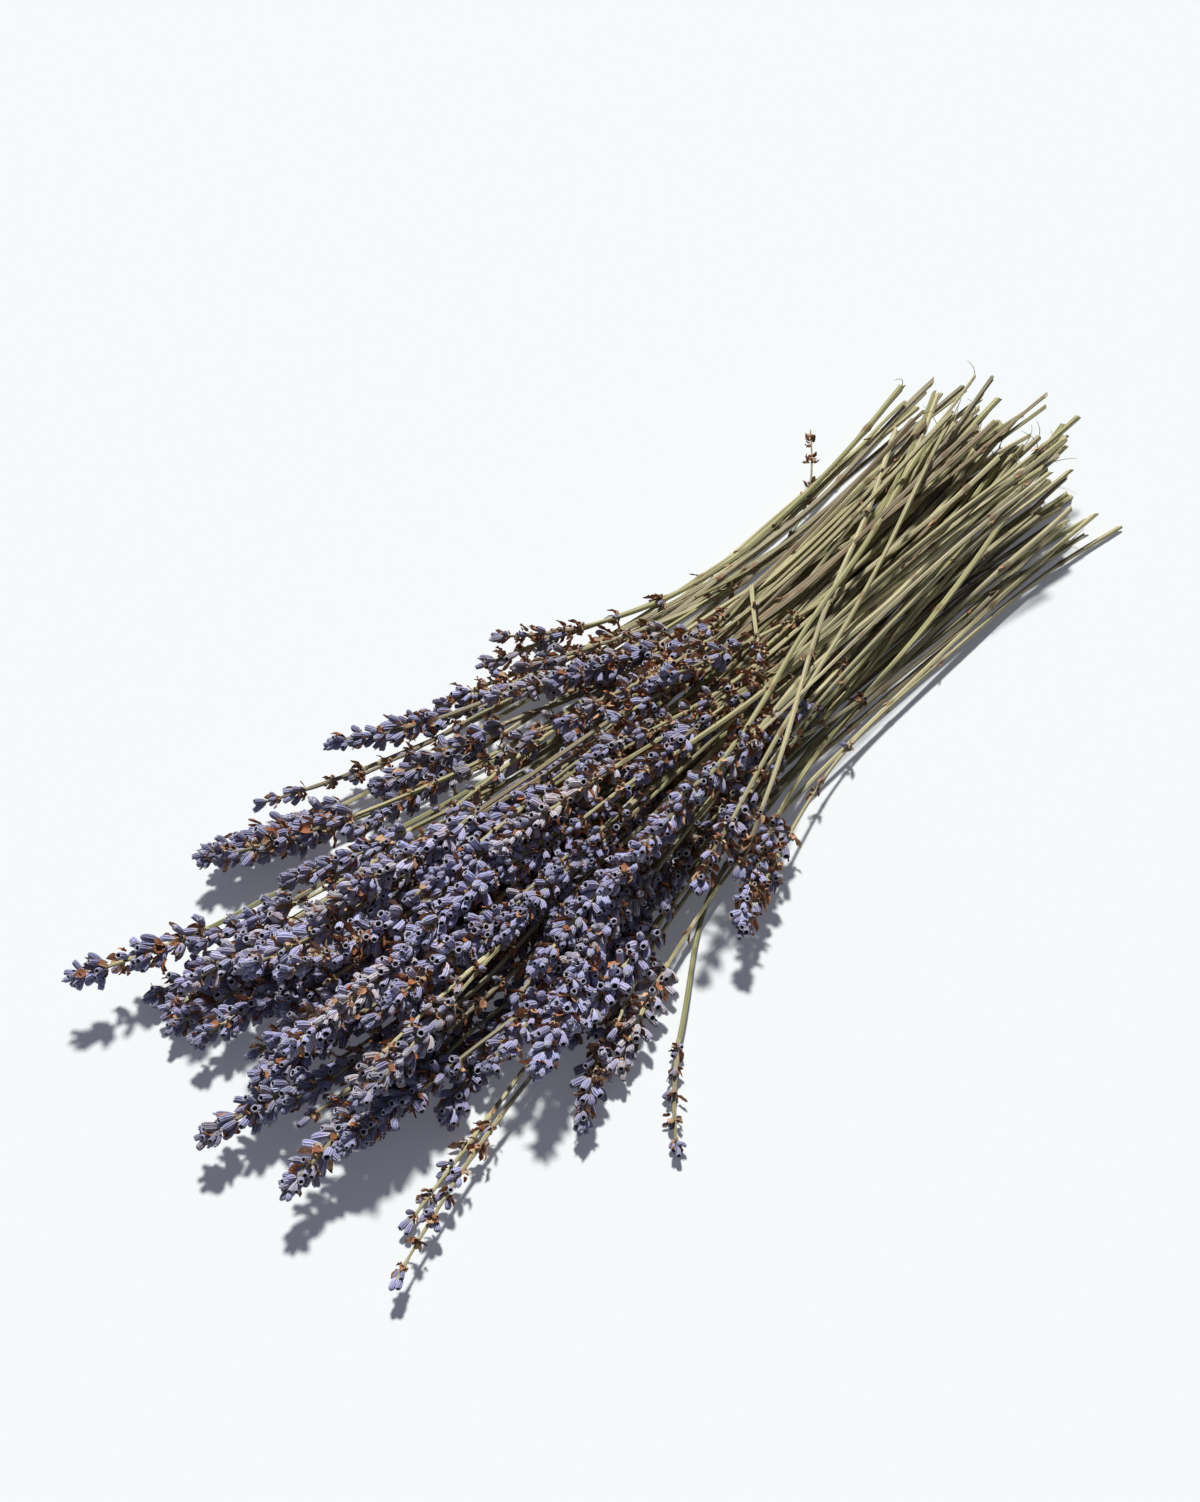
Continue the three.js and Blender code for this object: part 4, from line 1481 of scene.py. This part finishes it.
@dataclass
class Stems(Group):
    """Some stems: square, grooved, thinner towards the head, with scales at their joints."""

    half: float = STEM_SIDE * MM * 0.42
    step: float = 3.5 * MM
    profile: tuple = (0.82, 1.02, 1.2, 1.02)
    thickness: Span = (0.74, 1.14)
    taper: float = 0.24
    uneven: float = 0.04
    wave: float = 0.06
    wave_length: float = 9 * MM
    swelling: float = 0.35
    joint: float = 1.5 * MM
    first_joint: Span = (15, 60)
    joint_gap: Span = (50, 80)
    last_joint: float = 330
    bare_joints: float = 0.25
    scale_width: Span = (0.5, 0.9)
    scale_length: Span = (1.8, 4.2)
    fibres: float = 0.14
    scales: Sprig = field(default_factory=Sprig)

    def tube(self, skin: Skin, line: Line, scale: float, tint: Array, joints: Array,
             rng: Random) -> None:
        """Add one stem.

        Args:
            skin: The mesh to add it to.
            line: The line of its stalk.
            scale: How thick it is against the others.
            tint: The three numbers of its finish.
            joints: Where its swollen joints are.
            rng: Its random numbers.
        """
        end, sides = line.head, 4 * len(self.profile)
        far = np.unique(np.concatenate([np.linspace(0, end, int(end / self.step)), joints,
                                        joints - self.joint, joints + self.joint]))
        far = far[(far >= 0) & (far <= end)]
        share, count, angle = far / end, len(far), circle(sides)
        swell = np.exp(-(((far[:, None] - joints) / self.joint) ** 2)).sum(1)
        thick = self.half * scale * (1 - self.taper * share) * (1 + self.swelling * swell)
        thick = thick * (1 + self.wave * np.sin(far / self.wave_length + rng.uniform(0, 6)))
        square = np.tile(self.profile, 4) * (1 + self.uneven * rng.standard_normal(sides))
        turned = angle[None] + (rng.uniform(0, 1.5) + rng.uniform(-0.6, 0.6) * share)[:, None]
        ring = line.rings(far, thick[:, None] * square[None], turned)

        # The first ring is cut at a slant, and closed by a rim of bark and the pith inside it.
        start, along, _, _ = line.spot(far[0])
        slant = rng.uniform(0.2, 1.6) * self.half * np.cos(angle - rng.uniform(0, 6))
        ring[0] += along * (slant + rng.uniform(-0.4, 0.4, sides) * self.half)[:, None]
        pith = start + along * (0.5 * self.half)
        points = np.concatenate([ring.reshape(-1, 3), ring[0], (ring[0] + pith) / 2, pith[None]])
        place = ring_places(angle, far / MM)
        place = np.concatenate([place, place[:sides], place[:sides], place[:1]])
        zone = np.concatenate([np.repeat(swell.clip(0, 1), sides), np.full(sides, RIM_ZONE),
                               np.full(sides + 1, PITH_ZONE)])
        first, j = count * sides, np.arange(sides)
        k, inner = (j + 1) % sides, first + sides
        lid = np.stack([first + k, first + j, inner + j, inner + k], -1)
        heart = np.stack([inner + k, inner + j, 0 * j + len(points) - 1], -1)
        skin.add(points, np.concatenate([bands(count, sides), lid]), heart, place, tint, zone)

    def scale_pairs(self, line: Line, joints: Array, rng: Random) -> None:
        """Place two small scales at some of the joints.

        Args:
            line: The line of the stalk.
            joints: How far along it the joints are.
            rng: Its random numbers.
        """
        for far in joints[joints < line.head]:
            if rng.random() < self.bare_joints:
                continue
            spot, turn = line.spot(far), rng.uniform(0, 6)
            for angle in (turn, turn + math.pi + rng.normal(0, 0.2)):
                wide = rng.uniform(*self.scale_width) * MM
                long = rng.uniform(*self.scale_length) * MM
                tint = (rng.random(), rng.uniform(0.5, 1.0), rng.random() * 0.6)
                self.scales.add(spot, angle, rng.uniform(0.1, 0.5), 0.8 * self.half, 0.0,
                                (wide, wide, long), rng.uniform(-0.2, 0.3), tint,
                                int(rng.integers(Bract.variants)))

    def fibre(self, skin: Skin, line: Line, tint: Array, rng: Random) -> None:
        """Add a thin curled fibre that has come off the cut end of a stem.

        Args:
            skin: The mesh to add it to.
            line: The line of the stalk.
            tint: The three numbers of its finish.
            rng: Its random numbers.
        """
        point, along, side, rise = line.spot(0.0)
        way = side * rng.uniform(-1, 1) + rise * rng.uniform(0.1, 0.8)
        pull = point - along * rng.uniform(3, 7) * MM + way * rng.uniform(1, 3) * MM
        end = pull + (way * rng.uniform(3, 8) + along * rng.uniform(-2, 5)) * MM
        curl = Line.bent(point, pull, end, 12)
        skin.rod(curl, curl.far, np.linspace(0.2, 0.07, len(curl.far)) * MM, 5, tint)

    def dress(self, kit: Kit) -> list[bpy.types.Object]:
        """Build the bark of these stems, and the scales at their joints.

        Args:
            kit: What they are built from.

        Returns:
            The pieces.
        """
        bark, scales = Skin(f"{self.name}_bark"), Skin(f"{self.name}_scales")
        for stalk in self.stalks:
            rng = np.random.default_rng(stalk.seed)
            line = kit.lines[stalk.seed]
            joints = np.arange(rng.uniform(*self.first_joint), self.last_joint,
                               rng.uniform(*self.joint_gap)) * MM
            tint, scale = rng.random(3), rng.uniform(*self.thickness) * stalk.slimness()
            # Painted shade: the stems of inner stalks are painted darker by the group's shade.
            tint[0] -= self.shade
            self.tube(bark, line, scale, tint, joints, rng)
            self.scale_pairs(line, joints, rng)
            if rng.random() < self.fibres:
                self.fibre(bark, line, tint, rng)
        self.scales.dress(scales, kit.bracts)
        pieces = [bark.make(kit.looks["bark"], "stem")]
        if scales.count:
            pieces.append(scales.make(kit.looks["bract"], "stem"))
        return pieces


@dataclass
class Heads(Group):
    """Some flower heads: whorls of calyces with their bracts, on a slim rachis."""

    pitch: float = 6.2 * MM
    sparse_pitch: float = 8.6 * MM
    calyx_length: float = 5.7 * MM
    calyx_width: float = 2.6 * MM
    bract_length: float = 4.9 * MM
    bract_width: float = 2.0 * MM
    rachis: float = 0.8 * MM
    rachis_rings: int = 26
    fan: float = math.radians(64)
    full_reach: float = 5.2 * MM
    # Calyces below this height are painted darker, the lower the darker: painted shade inside the pile.
    shade_painted_below: float = 30 * MM
    ages: tuple = (0.1, 0.2, 0.3, 0.5, 0.8)
    age_shares: tuple = (0.25, 0.3, 0.2, 0.15, 0.1)
    wears: tuple = (0.02, 0.1, 0.35)
    sparse_wear: Span = (0.3, 0.85)
    back_wear: float = 0.45
    lost: float = 0.35
    closed_below: float = 0.6
    mouths: tuple = ((0.65, Mouth.OPEN), (0.8, Mouth.CLOSED), (1.0, Mouth.WITHERED))
    full_counts: tuple = ((3, 5), (1, 3))
    sparse_counts: tuple = ((1, 4), (0, 2))
    calyces: Sprig = field(default_factory=Sprig)
    bracts: Sprig = field(default_factory=Sprig)

    @staticmethod
    def girth_at(share: float) -> float:
        """Return half the girth of a head at a share of its length."""
        return GIRTH_START + GIRTH_SWELL * share * (1 - share) - GIRTH_TAPER * share

    def calyx(self, spot: Spot, angle: float, reach: float, off: float, ahead: float,
              look: Look, rng: Random) -> None:
        """Place one calyx, or the stub that is left of it.

        Args:
            spot: The point on the line, and the directions there.
            angle: Where it stands around the line.
            reach: How far from the line its mouth comes.
            off: How far its foot is from the line.
            ahead: How far its foot is along the line from the point.
            look: What the calyces of its whorl have in common.
            rng: Its random numbers.
        """
        # Painted shade: the lower a calyx lies in the pile, the darker its colour is painted.
        low = 1 - min(1.0, spot[0][2] / self.shade_painted_below)
        length = self.calyx_length * look.scale * rng.uniform(0.8, 1.16)
        lean = (reach * rng.uniform(0.84, 1.08) - off) / length
        tilt = math.asin(clamp(lean, 0.1, 0.92)) + rng.normal(0.1, 0.24)
        wide = self.calyx_width * look.scale * rng.uniform(0.84, 1.12) / 2
        chance, light = rng.random(), 0.5 * look.light + 0.6 * rng.random() - 0.45 * low
        age = clamp(look.age + rng.normal(0, 0.18))
        if rng.random() < look.worn:
            mouth, age = Mouth.STUB, STUB_AGE
            if rng.random() < self.lost:
                return
        elif look.scale < self.closed_below:
            mouth = Mouth.CLOSED
        else:
            mouth = next(mouth for share, mouth in self.mouths if chance < share)
        variant = mouth.value * Calyx.variants + int(rng.integers(Calyx.variants))
        size = (wide, wide * rng.uniform(0.82, 1.0), length)
        self.calyces.add(spot, angle, tilt, off, ahead, size, rng.uniform(-0.2, 0.08),
                         (light, rng.random(), age), variant)

    def bract(self, spot: Spot, angle: float, off: float, scale: float,
              rng: Random) -> None:
        """Place one bract that spreads from the foot of a whorl.

        Args:
            spot: The point on the line, and the directions there.
            angle: Where it stands around the line.
            off: How far its foot is from the line.
            scale: How big it is against the others.
            rng: Its random numbers.
        """
        wide = self.bract_width * scale * rng.uniform(0.8, 1.15)
        size = (wide * rng.uniform(0.4, 1.3), wide, self.bract_length * scale * rng.uniform(0.5, 1.25))
        tint = (rng.random(), rng.random(), rng.random())
        self.bracts.add(spot, angle, rng.uniform(0.6, 1.3), off, rng.uniform(-1.2, 1.6) * MM, size,
                        rng.uniform(-0.45, 0.25), tint, int(rng.integers(Bract.variants)))

    def whorl(self, spot: Spot, turn: float, reach: float, full: bool, look: Look,
              rng: Random) -> None:
        """Place the calyces and bracts of one whorl, in two clusters on opposite sides.

        Args:
            spot: The point on the line, and the directions there.
            turn: Where its first cluster stands around the line.
            reach: How far from the line the mouths come.
            full: Whether it is a dense whorl.
            look: What its calyces have in common.
            rng: Its random numbers.
        """
        slim = min(1.0, reach / (HEAD_RADIUS * MM))
        for half in (0.0, math.pi):
            middle = turn + half + rng.normal(0, 0.15)
            counts = self.full_counts if full else self.sparse_counts
            outer, inner = (int(rng.integers(*span)) for span in counts)
            for k in range(outer):
                place = 0.0 if outer == 1 else 2 * k / (outer - 1) - 1
                angle = middle + self.fan * place + rng.normal(0, 0.14)
                ahead = rng.uniform(-0.8, 0.7) * MM - 0.5 * MM * abs(place)
                self.calyx(spot, angle, reach, 1.7 * MM * slim, ahead, look, rng)
            for k in range(inner):
                angle = middle + self.fan * ((k + 0.5) / inner * 2 - 1) + rng.normal(0, 0.2)
                ahead = rng.uniform(0.9, 2.6) * MM
                self.calyx(spot, angle, 0.6 * reach, 1.0 * MM * slim, ahead, look, rng)
            for side in (-1, 0, 1):
                angle = middle + side * rng.uniform(0.1, 1.5)
                far = rng.uniform(0.8, 3.2) * MM * slim
                self.bract(spot, angle, far, look.scale * rng.uniform(0.7, 1.2), rng)
            if rng.random() < 0.8:
                far = rng.uniform(1.2, 3.0) * MM * slim
                self.bract(spot, middle + rng.uniform(-1.2, 1.2), far, 0.6 * look.scale, rng)

    def head(self, stalk: Stalk, line: Line, rachis: Skin) -> None:
        """Place all of one head, and add its rachis.

        Args:
            stalk: The stalk.
            line: Its line.
            rachis: The mesh that the rachis is added to.
        """
        rng = np.random.default_rng(HEAD_SEED + stalk.seed)
        full = stalk.kind is Kind.FULL
        tip, length = line.far[-1], line.far[-1] - line.head
        whorls = max(3, round(length / (self.pitch if full else self.sparse_pitch)))
        age = float(rng.choice(self.ages, p=self.age_shares))
        back = clamp((line.points[-1][0] / MM - BACK_START_X) / BACK_SPREAD_X)
        worn = rng.choice(self.wears) + self.back_wear * back if full else rng.uniform(*self.sparse_wear)
        # Painted shade: the heads of inner stalks are painted darker by the group's shade.
        light, thick = rng.random() - self.shade, HEAD_RADIUS * MM * stalk.girth

        # The whorls, and a tuft of small calyces at the tip.
        for w in range(whorls):
            far = line.head + (w + 0.2 + rng.uniform(-0.12, 0.12)) / whorls * length
            reach = thick * self.girth_at(min(1.0, (w + 0.75) / whorls)) * rng.uniform(0.88, 1.06)
            scale = (0.3 + 0.7 * min(1.0, reach / self.full_reach)) * rng.uniform(0.93, 1.06)
            look = Look(scale, age + rng.normal(0, 0.08), min(1.0, worn * rng.uniform(0.2, 2.2)), light)
            turn = stalk.turn + w * math.pi / 2 + rng.normal(0, 0.2)
            dense = full and rng.random() > 0.5 * back
            self.whorl(line.spot(far), turn, reach, dense, look, rng)
        look = Look(0.84 * min(1.0, 0.35 + stalk.girth), age, worn * 0.6, light)
        for k in range(7 if full else 3):
            spot = line.spot(tip - rng.uniform(4.2, 6.0) * MM)
            reach = thick * rng.uniform(0.05, 0.45)
            self.calyx(spot, stalk.turn + k * 2.4, reach, 0.4 * MM, 0.0, look, rng)

        # The rachis, and now and then a lone whorl on the stem below the head.
        count = self.rachis_rings
        far = np.linspace(line.head - 1.0 * MM, tip - 2.0 * MM, count)
        taper = np.linspace(1.0, 0.55, count) * (1 + 0.12 * rng.standard_normal(count))
        rachis.rod(line, far, self.rachis * taper * stalk.slimness(), 8, rng.random(3))
        for share in rng.uniform(0.75, 0.96, int(rng.integers(0, 3))):
            look = Look(rng.uniform(0.5, 0.75), age, 0.75, light)
            self.whorl(line.spot(line.head * share), rng.uniform(0, 3), 2.8 * MM, False, look, rng)

    def dress(self, kit: Kit) -> list[bpy.types.Object]:
        """Build the calyces, bracts and rachises of these heads.

        Args:
            kit: What they are built from.

        Returns:
            The pieces.
        """
        calyces, bracts, rachis = (
            Skin(f"{self.name}_{part}") for part in ("calyces", "bracts", "rachis")
        )
        for stalk in self.stalks:
            self.head(stalk, kit.lines[stalk.seed], rachis)
        self.calyces.dress(calyces, kit.calyces)
        self.bracts.dress(bracts, kit.bracts)
        return [
            calyces.make(kit.looks["calyx"], "flower_head"),
            bracts.make(kit.looks["bract"], "flower_head"),
            rachis.make(kit.looks["rachis"], "stem"),
        ]


@dataclass(frozen=True)
class Studio:
    """The floor, the light and the camera."""

    floor_size: float = 12.0
    floor_cells: int = 24
    sun_azimuth: float = 46.0
    sun_elevation: float = 59.0
    sun_spread: float = 6.0
    sun_strength: float = 5.1
    sky: Colour = srgb(214, 222, 255)
    sky_strength: float = 0.16
    backdrop: Colour = srgb(245, 247, 250)
    azimuth: float = -48.0
    elevation: float = 50.0
    lens: float = 70.0
    distance: float = 0.9127
    target: tuple = (0.0, 0.0, 0.0)

    def floor(self) -> None:
        """Lay the floor."""
        steps = np.linspace(-self.floor_size / 2, self.floor_size / 2, self.floor_cells + 1)
        x, y = np.meshgrid(steps, steps)
        points = np.stack([x, y, 0 * x], -1).reshape(-1, 3)
        faces = bands(len(steps), len(steps), closed=False)
        mesh = bpy.data.meshes.new("floor")
        mesh.from_pydata(points.tolist(), [], faces.tolist())
        mesh.materials.append(FloorPaper().make())
        made = bpy.data.objects.new("floor", mesh)
        bpy.context.scene.collection.objects.link(made)
        made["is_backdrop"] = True

    def light(self) -> None:
        """Hang the key light, and fill the rest from a pale sky that the camera sees as white."""
        scene = bpy.context.scene
        sun = bpy.data.lights.new("key", "SUN")
        sun.energy, sun.angle = self.sun_strength, math.radians(self.sun_spread)
        made = bpy.data.objects.new("key", sun)
        around, up = math.radians(self.sun_azimuth), math.radians(self.sun_elevation)
        towards = Vector((math.cos(around) * math.cos(up), math.sin(around) * math.cos(up),
                          math.sin(up)))
        made.rotation_euler = towards.to_track_quat("Z", "Y").to_euler()
        scene.collection.objects.link(made)
        scene.world = bpy.data.worlds.new("studio")
        s = Shader(scene.world)
        sky = {"Color": self.sky, "Strength": self.sky_strength}
        fill = s.node("ShaderNodeBackground", {}, sky)
        seen = s.node("ShaderNodeBackground", {}, {"Color": self.backdrop})
        rays = s.node("ShaderNodeLightPath", {}, {}, "Is Camera Ray")
        mixed = s.node("ShaderNodeMixShader", {}, {0: rays, 1: fill, 2: seen})
        s.node("ShaderNodeOutputWorld", {}, {"Surface": mixed})
        scene.view_settings.view_transform = "Standard"

    def camera(self) -> None:
        """Set the camera at the viewing angle of the photograph."""
        data = bpy.data.cameras.new("camera")
        data.lens, data.sensor_width, data.clip_start = self.lens, 36.0, 0.01
        made = bpy.data.objects.new("camera", data)
        around, down = math.radians(self.azimuth), math.radians(self.elevation)
        ahead = Vector((-math.sin(around) * math.cos(down), math.cos(around) * math.cos(down),
                        -math.sin(down)))
        made.location = Vector(self.target) - ahead * self.distance
        made.rotation_euler = ahead.to_track_quat("-Z", "Y").to_euler()
        bpy.context.scene.collection.objects.link(made)
        bpy.context.scene.camera = made


def corners(box: tuple) -> list[list[float]]:
    """Return a box as plain lists."""
    return [list(corner) for corner in box]


def groups(bunch: Bunch, added: list[Stalk]) -> Iterator[Group]:
    """Share all stalks out into groups.

    Args:
        bunch: The bunch, with one group of stems or of heads for each node.
        added: The stalks that no node holds.

    Yields:
        The groups, all stems before all heads.
    """
    for kind, name, nodes in ((Stems, "stems", bunch.stems), (Heads, "heads", bunch.heads)):
        for n, members in enumerate(nodes):
            node = f"{name}_{n + 1:02d}"
            yield kind(node, [bunch.stalks[s] for s in members], node)
        for n in range(0, len(added), FILLER_GROUP):
            # Inner stalks get painted shade; the stalks across the top get none.
            shade = INNER_PAINTED_SHADE if n < FILLERS else 0.0
            inner = f"inner_{name}_{n // FILLER_GROUP + 1}"
            yield kind(inner, added[n:n + FILLER_GROUP], shade=shade)


def main() -> None:
    """Lay the bunch and build every piece, in order, and report each."""
    solid = corners(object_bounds())
    bunch = Bunch()
    bunch.lay()
    bunch.place()
    added = bunch.fill()
    added += bunch.crossing(bunch.stalks + added)
    kit = Kit(
        {stalk.seed: Line.of_stalk(stalk) for stalk in bunch.stalks + added},
        {
            "bark": StemBark().make(),
            "rachis": StemBark("rachis_felt", green=srgb(160, 150, 116)).make(),
            "calyx": CalyxFelt().make(),
            "bract": BractPaper().make(),
        },
    )
    faces = 0
    for group in groups(bunch, added):
        for piece in group.build(kit):
            faces += len(piece.data.polygons)
            LOG.info("%s: %d faces", piece.name, len(piece.data.polygons))
    LOG.info("faces in all: %d", faces)
    studio = Studio(target=tuple(bunch.shift))
    studio.floor()
    studio.light()
    studio.camera()
    {"cad": solid, "visual": corners(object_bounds())}


if __name__ == "__main__":
    main()
